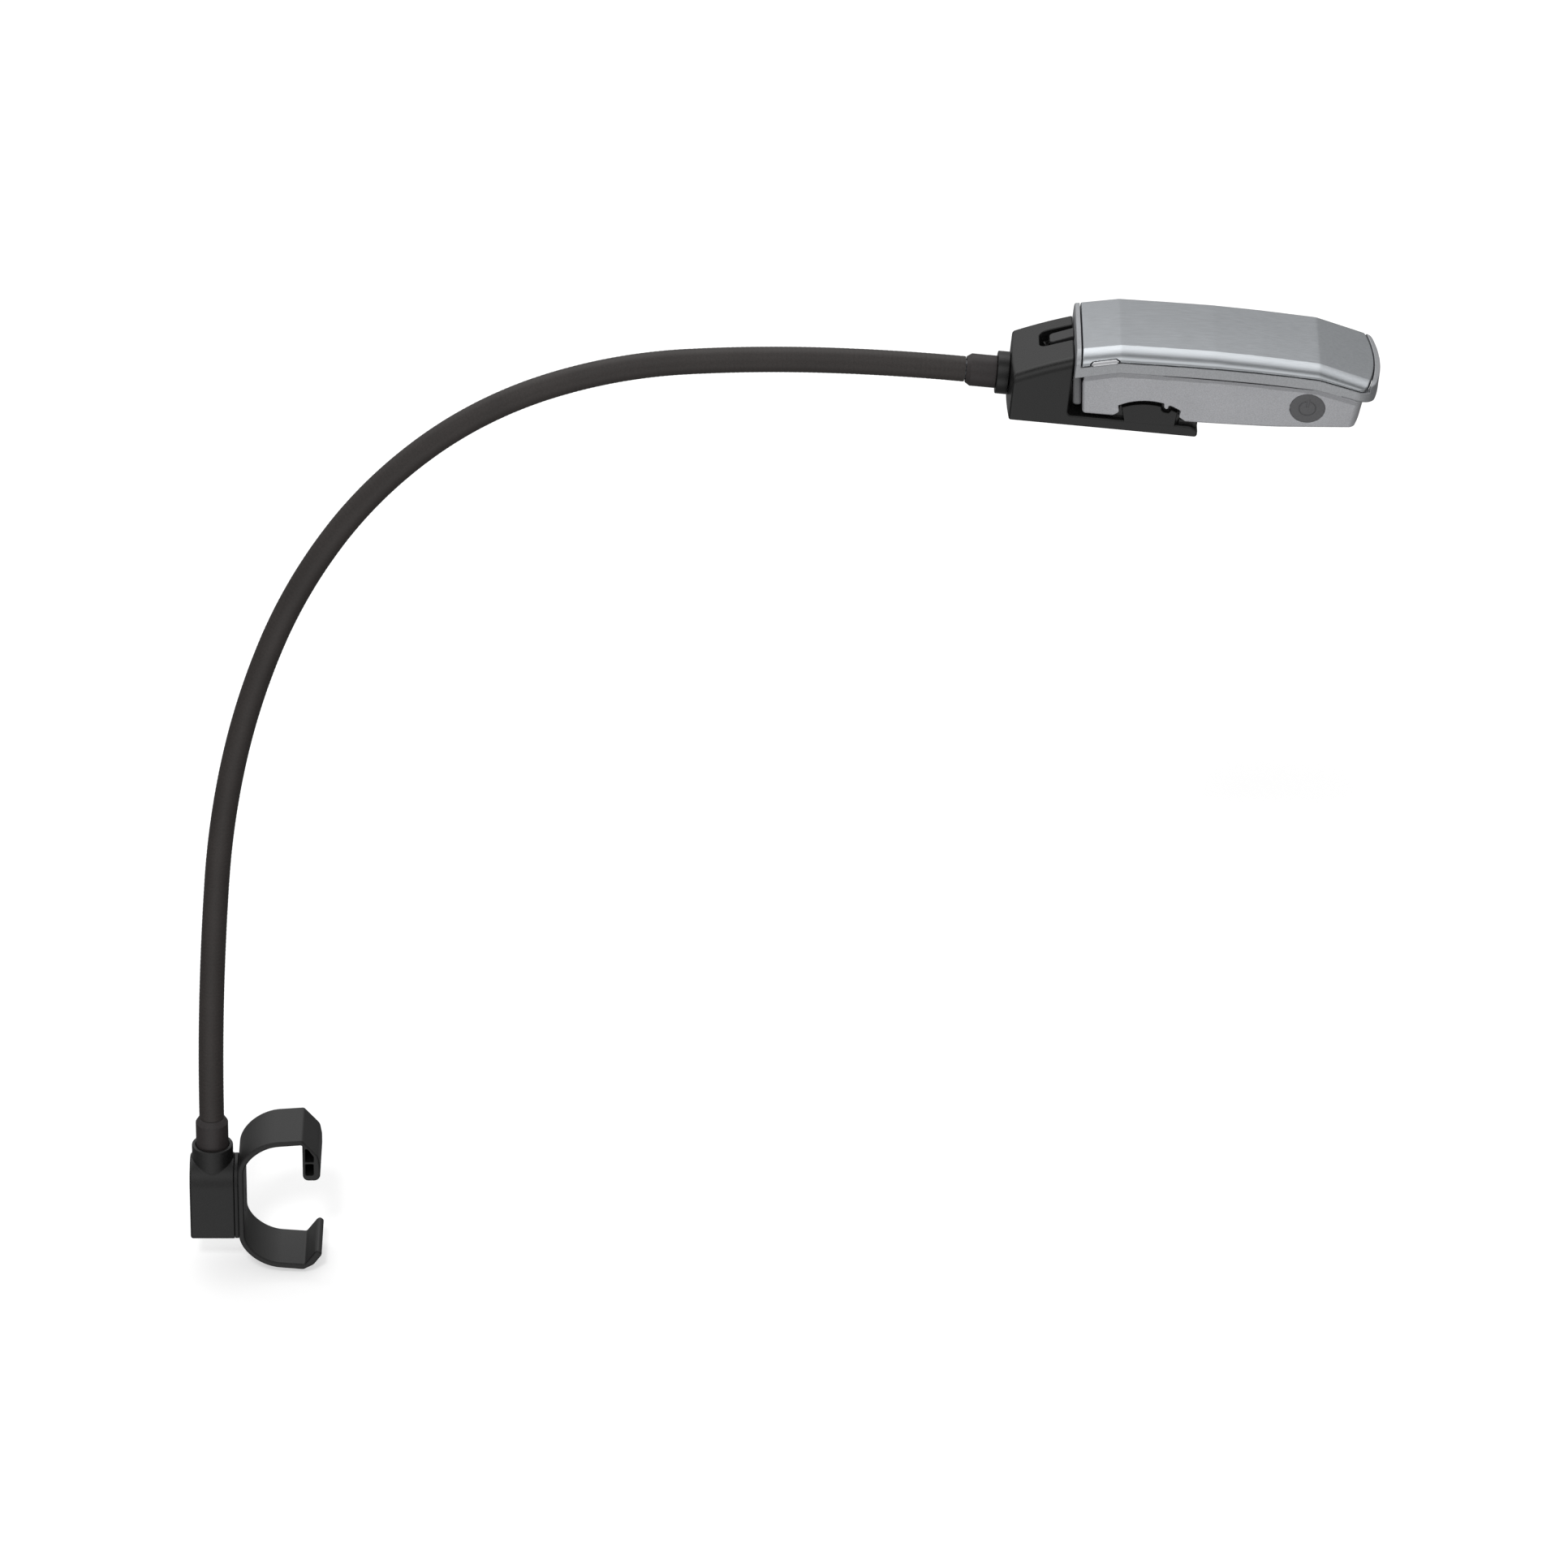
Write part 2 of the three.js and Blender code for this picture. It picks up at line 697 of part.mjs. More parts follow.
add('cradle', cradle(), BLACK(), head);
const lockScrew = bar('z', 1.5, LOCK_SCREW.low, LOCK_SCREW.high, [LOCK_SCREW.x, 0], 12);
add('neck_lock_screw', lockScrew, STEEL(), head);

// The slider's nose is cut off upright, a little past the cradle's wall.
function releaseSlider() {
  const outline = tongue(-SLIDER.length, 2, SLIDER.width / 2, SLIDER.corner);
  const room = box([CRADLE.left, -20, -20], [CRADLE.wallRight + 0.4, 20, 40]);
  return onSlope(alongZ(outline, SLIDER.low, SLIDER.high)).intersect(room);
}

add('release_slider', releaseSlider(), BLACK(), head);

// A coil spring about X, from one x to another.
function coil(from, to, radius, wire, turns) {
  class Helix extends THREE.Curve {
    getPoint(t, target = new THREE.Vector3()) {
      const angle = 2 * Math.PI * turns * t;
      const x = from + wire + (to - from - 2 * wire) * t;
      return target.set(x, radius * Math.cos(angle), radius * Math.sin(angle));
    }
  }
  return solid(new THREE.ExtrudeGeometry(ring(wire, 0, 4), {
    extrudePath: new Helix(),
    steps: Math.round(turns * 8),
    bevelEnabled: false,
  }));
}

const springEnd = -SLIDER.length - GAP;
const spring = coil(
  springEnd - RELEASE_SPRING.length, springEnd,
  RELEASE_SPRING.radius, RELEASE_SPRING.wire, RELEASE_SPRING.turns);
add('release_spring', onSlope(spring.translate(0, 0, RELEASE_SPRING.z)), STEEL(), head);

// ---- The lamp head ------------------------------------------------------------------------------

// The value of a station's field at x, on the straight lines between stations.
function along(rows, x) {
  const last = rows.length - 2;
  let i = rows.findIndex((row, k) => k > 0 && x <= row[0]) - 1;
  if (i < 0) {
    i = x < rows[0][0] ? 0 : last;
  }
  const [[x0, a], [x1, b]] = [rows[i], rows[i + 1]];
  return a + ((b - a) * (x - x0)) / (x1 - x0);
}

const seamAt = (x) => along(STATIONS.map((s) => [s.x, s.seam]), x);
const topAt = (x) => along(STATIONS.map((s) => [s.x, s.top]), x);
const bottomAt = (x) => along(HOUSING.bottom, x);

// A YZ outline carried along X through a list of stations; place(x, y, z) gives each point's height.
function carried(shape, stations, place) {
  const count = stations.length - 1;
  const geometry = new THREE.ExtrudeGeometry(shape, {
    depth: count,
    steps: count,
    bevelEnabled: false,
  });
  const position = geometry.attributes.position;
  for (let i = 0; i < position.count; i++) {
    const x = stations[Math.round(position.getZ(i))];
    const [y, z] = [position.getX(i), position.getY(i)];
    position.setXYZ(i, x, y, place(x, y, z));
  }
  return solid(geometry);
}

// The plan of the lamp head: a straight left end and a convex right end with rounded corners.
function plan(left, right, half, corner) {
  const span = half - corner;
  const radius = (span * span + HEAD.endBulge ** 2) / (2 * HEAD.endBulge);
  const open = THREE.MathUtils.radToDeg(Math.asin(span / radius));
  const end = right - HEAD.endBulge;
  return shapeOf([
    [left, -half],
    [end - corner, -half],
    ...arc(end - corner, -half + corner, corner, -90, -open, 3),
    ...arc(right - radius, 0, radius, -open, open, 8).slice(1, -1),
    ...arc(end - corner, half - corner, corner, open, 90, 3),
    [left, half],
  ]);
}

const bendsBetween = (from, to) => [
  from,
  ...STATIONS.map((s) => s.x).filter((x) => x > from && x < to),
  to,
];

const rectangle = (half, low, high) =>
  shapeOf([[-half, low], [half, low], [half, high], [-half, high]]);

// The outer outline of the cover's section: a flat top and quarter-round long edges.
function coverSection(inset) {
  const half = HEAD.halfWidth - inset;
  const height = HEAD.edgeRadius - inset;
  const flat = HEAD.halfWidth - HEAD.edgeRadius;
  const right = arc(flat, 0, half - flat, 0, 90, 6).map(([y, z]) => [y, Math.min(z, height)]);
  const left = right.map(([y, z]) => [-y, z]).reverse();
  return [...right, ...left];
}

// Stretches the section's height so that it fills the space between the seam and the cover's top.
const onSeam = (x, y, z) =>
  seamAt(x) + (z * (topAt(x) - seamAt(x))) / HEAD.edgeRadius;

function rimFrame() {
  const { left, right, halfWidth, rimHeight, rimWall, endPlate } = HEAD;
  const stations = bendsBetween(left, right + 0.5);
  const outer = alongZ(plan(left, right, halfWidth, 4), -10, 30);
  const inner = alongZ(plan(left + endPlate, right - 1.9, halfWidth - rimWall, 3), -10, 30);
  const band = carried(rectangle(halfWidth, -rimHeight, 0), stations, (x, y, z) => seamAt(x) + z);
  const ends = carried(shapeOf(coverSection(0)), stations, onSeam);
  const middle = alongZ(plan(left + endPlate, right - 1.7, halfWidth + 1, 4), -10, 30);
  return band
    .add(ends.subtract(middle))
    .intersect(outer)
    .subtract(inner.subtract(box([0, -30, 17], [200, 30, 40])));
}

add('rim_frame', rimFrame(), SILVER(), head);

function batteryCover() {
  const left = HEAD.left + HEAD.endPlate + GAP;
  const stations = bendsBetween(left, HEAD.coverEnd + 0.1);
  const lifted = (x, y, z) => onSeam(x, y, z) + (z <= 0 ? GAP : 0);
  const outer = carried(shapeOf(coverSection(0)), stations, lifted);
  const under = bendsBetween(left + HEAD.coverWall, HEAD.coverEnd - 1.4);
  const hollow = coverSection(HEAD.coverWall).map(([y, z]) => [y, z <= 0 ? -2 : z]);
  const inner = carried(shapeOf(hollow), under, onSeam);
  const outline = alongZ(plan(left, HEAD.coverEnd, HEAD.halfWidth, 3.4), -10, 30);
  const inset = alongZ(
    plan(left + HEAD.coverWall, HEAD.coverEnd - 1.4, HEAD.halfWidth - HEAD.coverWall, 3), -10, 30);
  return outer
    .intersect(outline)
    .subtract(inner.intersect(inset))
    .subtract(catchRoom());
}

// Places a solid made about the origin where the catch is, in line with the seam.
function onCatch(made) {
  const middle = CATCH.x + CATCH.length / 2;
  const rise = seamAt(middle + 1) - seamAt(middle);
  return made
    .rotate([0, -THREE.MathUtils.radToDeg(Math.atan(rise)), 0])
    .translate(middle, -HEAD.halfWidth, seamAt(middle) + 1.4);
}

// The room in the cover's front edge that the catch slides in.
function catchRoom() {
  const half = CATCH.length / 2 + GAP;
  return onCatch(box([-half, -1, -3], [half, 3.2, CATCH.height / 2 + GAP]));
}

add('battery_cover', batteryCover(), SATIN(), head);

function coverCatch() {
  const end = CATCH.height / 2;
  const half = CATCH.length / 2 - end;
  const pill = shapeOf([...arc(half, 0, end, -90, 90, 5), ...arc(-half, 0, end, 90, 270, 5)]);
  return onCatch(alongY(pill, CATCH.thick, CATCH.thick / 2 - 0.3));
}

add('cover_catch', coverCatch(), SATIN(), head);

// A section of the lower housing, inset evenly; z is -1 at the bottom, 0 at the band's lower edge and
// 1 at its top.
function housingSection(inset) {
  return shapeOf([
    [-HOUSING.bottomHalf + inset, -1],
    [HOUSING.bottomHalf - inset, -1],
    [HOUSING.bandHalf - inset, 0],
    [HOUSING.topHalf - inset, 1],
    [-HOUSING.topHalf + inset, 1],
    [-HOUSING.bandHalf + inset, 0],
  ]);
}

function housingBody(left, right, inset, extraTop) {
  const corner = 3;
  const bends = [...HOUSING.bottom.map(([x]) => x), ...STATIONS.map((s) => s.x)];
  const stations = [...new Set([left, ...bends.filter((x) => x > left && x < right), right])];
  stations.sort((a, b) => a - b);
  const body = carried(housingSection(inset), stations, (x, y, level) => {
    const top = seamAt(x) - HEAD.rimHeight - GAP;
    if (level > 0) {
      return top + extraTop;
    }
    return level === 0 ? top - HOUSING.band : bottomAt(x) + inset;
  });
  const outline = new THREE.ExtrudeGeometry(plan(left, right, HOUSING.topHalf - inset, corner), {
    depth: 40,
    bevelEnabled: false,
  }).translate(0, 0, -10);
  const position = outline.attributes.position;
  const middle = (left + right) / 2;
  for (let i = 0; i < position.count; i++) {
    const lean = ((20 - position.getZ(i)) / 20) * HOUSING.rake;
    if (position.getX(i) > middle) {
      position.setX(i, position.getX(i) - lean);
    }
  }
  return body.intersect(solid(outline));
}

// Places a solid made about the origin on the housing's drafted front side, where the button is.
function onSide(made) {
  const rise = (BUTTON.z - bottomAt(BUTTON.x)) * Math.tan(THREE.MathUtils.degToRad(BUTTON.draft));
  return made
    .rotate([BUTTON.draft, 0, 0])
    .translate(BUTTON.x, -HOUSING.bottomHalf - rise, BUTTON.z);
}

function lowerHousing() {
  const { left, right, wall } = HOUSING;
  let made = housingBody(left, right, 0, 0)
    .subtract(housingBody(left + wall, right - wall, wall, 5))
    .subtract(box([LIGHT.left, -LIGHT.halfWidth, -8], [LIGHT.right, LIGHT.halfWidth, 3]));
  for (const side of [-1, 1]) {
    made = made.subtract(alongY(arch, 6, side * (cheekY + 1)));
  }
  for (const [x, y, top] of BOSSES) {
    const boss = bar('z', BOSS.radius, bottomAt(x) + 0.5, top, [x, y], 12);
    const hole = bar('z', BOSS.hole, bottomAt(x) + wall, top + 1, [x, y], 10);
    made = made.add(boss).subtract(hole);
  }
  return made.subtract(onSide(bar('y', BUTTON.radius + GAP, -2, 4, [0, 0], 24)));
}

add('lower_housing', lowerHousing(), SILVER(), head);

const padOutline = shapeOf([
  [PAD.left, PAD.low + PAD.chamfer],
  [PAD.left + PAD.chamfer, PAD.low],
  [PAD.right, PAD.low],
  [PAD.right, PAD.high],
  [PAD.left + PAD.chamfer, PAD.high],
  [PAD.left, PAD.high - PAD.chamfer],
]);
add('seat_pad', alongY(padOutline, PAD.depth, 0, PAD.edge), GREY(), head);

const button = bar('y', BUTTON.radius, -0.3, BUTTON.length, [0, 0], 24);
add('power_button', onSide(button), GREY(), head);

// ---- Inside the lamp head -----------------------------------------------------------------------

const cellEnd = CELL.x + CELL.length;

for (let i = 0; i < 3; i++) {
  const y = (i - 1) * CELL.pitch;
  const cell = turned([
    [CELL.x, 0],
    [CELL.x, CELL.radius],
    [cellEnd - 1, CELL.radius],
    [cellEnd - 1, 1.9],
    [cellEnd, 1.9],
    [cellEnd, 0],
  ], 14);
  add(`battery_${i + 1}`, cell.translate(0, y, CELL.z), GREY(), head);
}

function batteryTray() {
  const { left, right, half, floor, thick } = TRAY;
  let made = box([left, -half, floor - thick], [right, half, CELL.z])
    .subtract(box([left + 1, -half - 1, floor], [right - 1, half + 1, 30]));
  for (const [x, y] of BOSSES.slice(0, 2)) {
    made = made.subtract(bar('z', BOSS.hole, 0, floor + 1, [x, y], 10));
  }
  return made;
}

add('battery_tray', batteryTray(), BLACK(), head);

// A contact strip across the three cells.
const contactStrip = (x) => box([x, -14.6, CELL.z - 4], [x + 0.4, 14.6, CELL.z + 4]);

add('contact_strip_left', contactStrip(CELL.x - 1.6), STEEL(), head);
add('contact_strip_right', contactStrip(cellEnd + 0.9), STEEL(), head);
for (let i = 0; i < 3; i++) {
  const from = CELL.x - 1.2 + GAP;
  const made = turned([[from, 0], [from, 2.4], [CELL.x - GAP, 1.4], [CELL.x - GAP, 0]], 10);
  add(`battery_spring_${i + 1}`, made.translate(0, (i - 1) * CELL.pitch, CELL.z), STEEL(), head);
}

let board = box([BOARD.left, -BOARD.half, BOARD.low], [BOARD.right, BOARD.half, BOARD.high]);
for (const [x, y] of BOSSES.slice(2)) {
  board = board.subtract(bar('z', BOSS.hole, 0, 10, [x, y], 10));
}
add('circuit_board', board, GREEN(), head);

const switchBody = box([102.6, -13, 2.2], [108.2, -8.6, 5.3]);
add('tact_switch', switchBody.add(box([104.4, -13.6, 3.2], [106.4, -12.9, 4.9])), BLACK(), head);

const ledX = (i) => LED.first + i * LED.pitch;
for (let i = 0; i < 3; i++) {
  const led = box(
    [ledX(i) - LED.half, -LED.half, LED.low], [ledX(i) + LED.half, LED.half, LED.high]);
  add(`led_${i + 1}`, led, LAMP(), head);
}

let reflector = box(REFLECTOR.low, REFLECTOR.high);
for (let i = 0; i < 3; i++) {
  const cup = turned([
    [CUP.bottom, 0],
    [CUP.bottom, CUP.mouth],
    [6, CUP.throat],
    [6, 0],
  ], 12).rotate([0, -90, 0]);
  reflector = reflector.subtract(cup.translate(ledX(i), 0, 0));
}
add('reflector', reflector, SATIN(), head);

// The lens lies flush in the housing's sloping bottom.
const lensX = (LIGHT.left + LIGHT.right) / 2;
const lensRise = THREE.MathUtils.radToDeg(Math.atan(bottomAt(lensX + 1) - bottomAt(lensX)));
const [lensLong, lensWide] = LENS.half;
const lens = box([-lensLong, -lensWide, -0.1], [lensLong, lensWide, LENS.thick - 0.1]);
add('lens', lens.rotate([0, -lensRise, 0]).translate(lensX, 0, bottomAt(lensX)), CLEAR(), head);

// Two screws hold the tray and two the board.
BOSSES.forEach(([x, y, top], i) => {
  const seat = top + GAP + (i < 2 ? TRAY.thick : BOARD.high - BOARD.low) + GAP;
  const screw = bar('z', SMALL_SCREW.head, seat, seat + SMALL_SCREW.headHeight, [x, y], 10)
    .add(bar('z', SMALL_SCREW.shank, top - SMALL_SCREW.reach, seat + 0.5, [x, y], 8));
  const name = i < 2 ? `tray_screw_${i + 1}` : `board_screw_${i - 1}`;
  add(name, screw, STEEL(), head);
});

export default lamp;
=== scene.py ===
# Looks for the clip-on reading lamp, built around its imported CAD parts.
#
# Shapes are worked out in millimetres and placed in metres. The lamp's own frame is the record's. The
# head's frame starts at the end of the neck, with x along the neck's last direction and z up.

import math

import bpy
import numpy as np
from mathutils import Matrix, Vector


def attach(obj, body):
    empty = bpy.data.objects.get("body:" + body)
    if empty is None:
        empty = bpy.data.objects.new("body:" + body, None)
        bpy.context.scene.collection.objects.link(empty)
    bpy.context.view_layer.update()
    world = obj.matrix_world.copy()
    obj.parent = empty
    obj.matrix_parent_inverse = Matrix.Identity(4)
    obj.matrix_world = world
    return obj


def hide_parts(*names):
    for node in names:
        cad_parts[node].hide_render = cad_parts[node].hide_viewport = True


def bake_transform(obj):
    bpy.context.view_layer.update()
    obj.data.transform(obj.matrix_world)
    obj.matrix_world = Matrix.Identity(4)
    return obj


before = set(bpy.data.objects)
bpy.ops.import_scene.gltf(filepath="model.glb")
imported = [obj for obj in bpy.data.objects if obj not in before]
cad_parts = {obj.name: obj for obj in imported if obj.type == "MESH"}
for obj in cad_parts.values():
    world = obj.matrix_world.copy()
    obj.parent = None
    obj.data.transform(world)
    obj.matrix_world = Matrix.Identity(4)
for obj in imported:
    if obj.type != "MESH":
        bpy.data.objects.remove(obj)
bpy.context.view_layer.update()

# ---- Sizes, in millimetres --------------------------------------------------------------------------
# The neck and the head's outlines follow the CAD parts. SEAM, TOP and BOTTOM are rows of (x, z) in the
# head's frame: where the cover meets the rim, the cover's top and the housing's underside.

GAP = 0.3
NECK_X = -21.6
NECK_START_Z = 26.4
NECK_RADIUS = 4.0
CORE_RADIUS = 2.9
STRETCH = 43.4
TURNS = (2.4, 2.1, 7.7, 9.3, 13.4, 16.6, 19.3, 15.8, 5.4, 4.0)

SEAM = (
    (32.2, 13.5),
    (45.9, 16.8),
    (56.0, 17.12),
    (66.0, 17.45),
    (76.0, 17.66),
    (88.0, 17.68),
    (98.0, 17.5),
    (107.6, 17.2),
    (118.0, 15.05),
    (128.0, 12.8),
)
TOP = (
    (32.2, 18.1),
    (45.9, 21.0),
    (60.0, 21.45),
    (75.0, 21.8),
    (90.0, 21.6),
    (107.6, 21.0),
    (128.0, 15.8),
)
BOTTOM = ((33.0, -3.4), (72.0, -3.1), (96.0, -2.1), (128.0, 1.0))
HALF_WIDTH = 20.2
EDGE_RADIUS = 4.2
RIM_HEIGHT = 3.4


# ---- The neck's middle line -------------------------------------------------------------------------


def neck_at(s):
    """x, z and direction in degrees of the neck's middle line, s mm from its start."""
    x, z, angle = NECK_X, NECK_START_Z, 90.0
    if s < 0:
        return x, z + s, angle
    for turn in TURNS:
        step = min(s, STRETCH)
        radius = STRETCH / math.radians(turn)
        a, b = math.radians(angle), math.radians(angle - turn * step / STRETCH)
        x += radius * (math.sin(a) - math.sin(b))
        z += radius * (math.cos(b) - math.cos(a))
        angle -= turn * step / STRETCH
        s -= step
        if s <= 0:
            return x, z, angle
    a = math.radians(angle)
    return x + s * math.cos(a), z + s * math.sin(a), angle


NECK_LENGTH = STRETCH * len(TURNS)


def frame_at(s):
    """The frame at a place on the neck, x along it and z to its upper side, in millimetres."""
    x, z, angle = neck_at(s)
    a = math.radians(angle)
    return Matrix(
        (
            (math.cos(a), 0, -math.sin(a), x),
            (0, 1, 0, 0),
            (math.sin(a), 0, math.cos(a), z),
            (0, 0, 0, 1),
        )
    )


HEAD = frame_at(NECK_LENGTH)
LAMP = Matrix.Identity(4)


def metres(matrix):
    """The same placing, but from millimetres to metres."""
    return Matrix.Scale(0.001, 4) @ matrix


# ---- Outlines and fields ----------------------------------------------------------------------------
# A field is negative inside a shape and about the distance in millimetres from its surface.


def filleted(corners, steps=6):
    """A closed outline from corners (a, b, radius), each rounded to its radius."""
    out = []
    for i, (a, b, radius) in enumerate(corners):
        here = np.array((a, b), float)
        back = np.array(corners[i - 1][:2], float) - here
        ahead = np.array(corners[(i + 1) % len(corners)][:2], float) - here
        reach = min(np.linalg.norm(back), np.linalg.norm(ahead)) * 0.49
        back /= np.linalg.norm(back)
        ahead /= np.linalg.norm(ahead)
        half = math.acos(max(-1, min(1, back @ ahead))) / 2
        if radius <= 0 or half > math.radians(89):
            out.append(here)
            continue
        along = min(radius / math.tan(half), reach)
        radius = along * math.tan(half)
        middle = back + ahead
        centre = here + middle / np.linalg.norm(middle) * (radius / math.sin(half))
        first = here + back * along - centre
        last = here + ahead * along - centre
        start = math.atan2(first[1], first[0])
        sweep = (math.atan2(last[1], last[0]) - start + math.pi) % (2 * math.pi) - math.pi
        for k in range(steps + 1):
            angle = start + sweep * k / steps
            out.append(centre + radius * np.array((math.cos(angle), math.sin(angle))))
    return out


def sharp(points):
    """Corners with no rounding."""
    return [(a, b, 0) for a, b in points]


def outline(points):
    """The field of a closed outline in a plane."""
    ends = [(float(a), float(b)) for a, b in points]

    def field(a, b):
        a, b = np.broadcast_arrays(a, b)
        best = np.full(a.shape, np.inf)
        inside = np.zeros(a.shape, bool)
        for (a0, b0), (a1, b1) in zip(ends, ends[1:] + ends[:1]):
            ea, eb = a1 - a0, b1 - b0
            length = ea * ea + eb * eb
            if length < 1e-12:
                continue
            t = np.clip(((a - a0) * ea + (b - b0) * eb) / length, 0, 1)
            best = np.minimum(best, (a - a0 - t * ea) ** 2 + (b - b0 - t * eb) ** 2)
            if eb:
                inside ^= ((b0 <= b) != (b1 <= b)) & (a < a0 + (b - b0) * ea / eb)
        return np.where(inside, -1, 1) * np.sqrt(best)

    return field


def both(a, b, radius=0.0):
    """Where two shapes overlap, with the edge between them rounded."""
    if not np.any(radius):
        return np.maximum(a, b)
    corner = np.hypot(np.maximum(a + radius, 0), np.maximum(b + radius, 0))
    return np.minimum(np.maximum(a, b), -radius) + corner


def either(a, b, radius=0.0):
    """Two shapes together, with the corner between them rounded."""
    return -both(-a, -b, radius)


def less(a, b, radius=0.0):
    """The first shape without the second, with the edge between them rounded."""
    return both(a, -b, radius)


def slab(value, low, high):
    """The space between two parallel faces."""
    return np.maximum(low - value, value - high)


def block(x, y, z, low, high, radius=0.0):
    """A box with rounded edges."""
    centre = [(a + b) / 2 for a, b in zip(low, high)]
    half = [(b - a) / 2 - radius for a, b in zip(low, high)]
    q = [np.abs(v - c) - h for v, c, h in zip((x, y, z), centre, half)]
    outside = np.sqrt(sum(np.maximum(v, 0) ** 2 for v in q))
    return outside + np.minimum(np.maximum(np.maximum(q[0], q[1]), q[2]), 0) - radius


def along(rows, x, soft=0.35):
    """The height of a row of straight lines at x, with the bends between them rounded off."""
    xs, zs = zip(*rows)
    slopes = [(b - a) / (d - c) for a, b, c, d in zip(zs, zs[1:], xs, xs[1:])]
    out = zs[0] + slopes[0] * (x - xs[0])
    for bend, before, after in zip(xs[1:], slopes, slopes[1:]):
        past = x - bend
        out = out + (after - before) * (past + np.sqrt(past * past + soft * soft)) / 2
    return out


# ---- From a field to a mesh -------------------------------------------------------------------------

CUBE = [(i, j, k) for i in (0, 1) for j in (0, 1) for k in (0, 1)]
EDGES = [(a, b) for a in range(8) for b in range(a + 1, 8) if bin(a ^ b).count("1") == 1]


def net(field, low, high, step):
    """Vertices and quads of the surface of a field, one vertex in each cell the surface crosses."""
    counts = [int(math.ceil((b - a) / step)) + 1 for a, b in zip(low, high)]
    axes = [a + step * np.arange(n) for a, n in zip(low, counts)]
    x, y, z = np.meshgrid(*axes, indexing="ij", sparse=True)
    values = np.broadcast_to(field(x, y, z), counts).astype(np.float32)
    inside = values < 0
    cells = [n - 1 for n in counts]

    def shifted(array, corner):
        return array[tuple(slice(c, c + n) for c, n in zip(corner, cells))]

    some, every = np.zeros(cells, bool), np.ones(cells, bool)
    for corner in CUBE:
        some |= shifted(inside, corner)
        every &= shifted(inside, corner)
    places = np.argwhere(some & ~every)
    index = np.full(cells, -1)
    index[tuple(places.T)] = np.arange(len(places))
    at = np.stack([values[tuple((places + corner).T)] for corner in CUBE], 1)
    total = np.zeros((len(places), 3))
    hits = np.zeros((len(places), 1))
    for a, b in EDGES:
        crossed = (at[:, a] < 0) != (at[:, b] < 0)
        share = np.where(crossed, at[:, a] / np.where(crossed, at[:, a] - at[:, b], 1), 0)[:, None]
        point = np.array(CUBE[a]) * (1 - share) + np.array(CUBE[b]) * share
        total += point * crossed[:, None]
        hits += crossed[:, None]
    points = np.array(low) + step * (places + total / hits)
    quads = []
    for axis in range(3):
        u, v = (axis + 1) % 3, (axis + 2) % 3
        cut = [slice(1, n - 1) for n in counts]
        cut[axis] = slice(0, counts[axis] - 1)
        ahead = list(cut)
        ahead[axis] = slice(1, counts[axis])
        first, second = inside[tuple(cut)], inside[tuple(ahead)]
        start = np.array([s.start for s in cut])
        for leaving in (True, False):
            found = np.argwhere((first != second) & (first == leaving)) + start
            ring = []
            for du, dv in ((-1, -1), (0, -1), (0, 0), (-1, 0)):
                cell = found.copy()
                cell[:, u] += du
                cell[:, v] += dv
                ring.append(index[tuple(cell.T)])
            ring = np.stack(ring, 1)
            quads.append(ring if leaving else ring[:, ::-1])
    return points, np.concatenate(quads)


def slope_of(field, points, reach=0.02):
    """The field's gradient at each point."""
    rows = []
    for axis in range(3):
        shift = np.zeros(3)
        shift[axis] = reach
        rows.append(field(*(points + shift).T) - field(*(points - shift).T))
    return np.stack(rows, 1) / (2 * reach)


def settled(field, points, most, rounds=3):
    """Points moved onto the surface of the field, none further than most."""
    start = points.copy()
    for _ in range(rounds):
        slope = slope_of(field, points)
        size = np.maximum((slope**2).sum(1), 0.05)
        points = points - slope * (field(*points.T) / size)[:, None]
        moved = points - start
        far = np.linalg.norm(moved, axis=1)
        points = start + moved * np.minimum(1, most / np.maximum(far, 1e-9))[:, None]
    return points


def linked(name, mesh, finish):
    """An object in the scene with one finish."""
    obj = bpy.data.objects.new(name, mesh)
    bpy.context.scene.collection.objects.link(obj)
    mesh.materials.clear()
    mesh.materials.append(finish)
    return obj


def mesh_of(name, points, faces):
    mesh = bpy.data.meshes.new(name)
    mesh.from_pydata([tuple(p) for p in points], [], [tuple(int(i) for i in f) for f in faces])
    mesh.update()
    return mesh


def moulded(name, field, low, high, finish, place, step=0.3, keep=0.35):
    """A piece with the surface of a field, thinned where it is flat and shaded by the field itself."""
    points, quads = net(field, low, high, step)
    points = settled(field, points, step * 0.9, 2)
    mesh = mesh_of(name, points, quads)
    obj = linked(name, mesh, finish)
    thin = obj.modifiers.new("thin", "DECIMATE")
    thin.ratio = keep
    ready = obj.evaluated_get(bpy.context.evaluated_depsgraph_get())
    fewer = bpy.data.meshes.new_from_object(ready)
    obj.modifiers.clear()
    obj.data = fewer
    bpy.data.meshes.remove(mesh)
    mesh = fewer
    mesh.name = name
    points = np.zeros(len(mesh.vertices) * 3)
    mesh.vertices.foreach_get("co", points)
    points = settled(field, points.reshape(-1, 3), step * 0.5)
    mesh.vertices.foreach_set("co", points.ravel())
    mesh.transform(metres(place))
    mesh.shade_smooth()
    normals = slope_of(field, points) @ np.array(place.to_3x3()).T
    normals /= np.maximum(np.linalg.norm(normals, axis=1), 1e-9)[:, None]
    mesh.normals_split_custom_set_from_vertices(normals)
    return obj


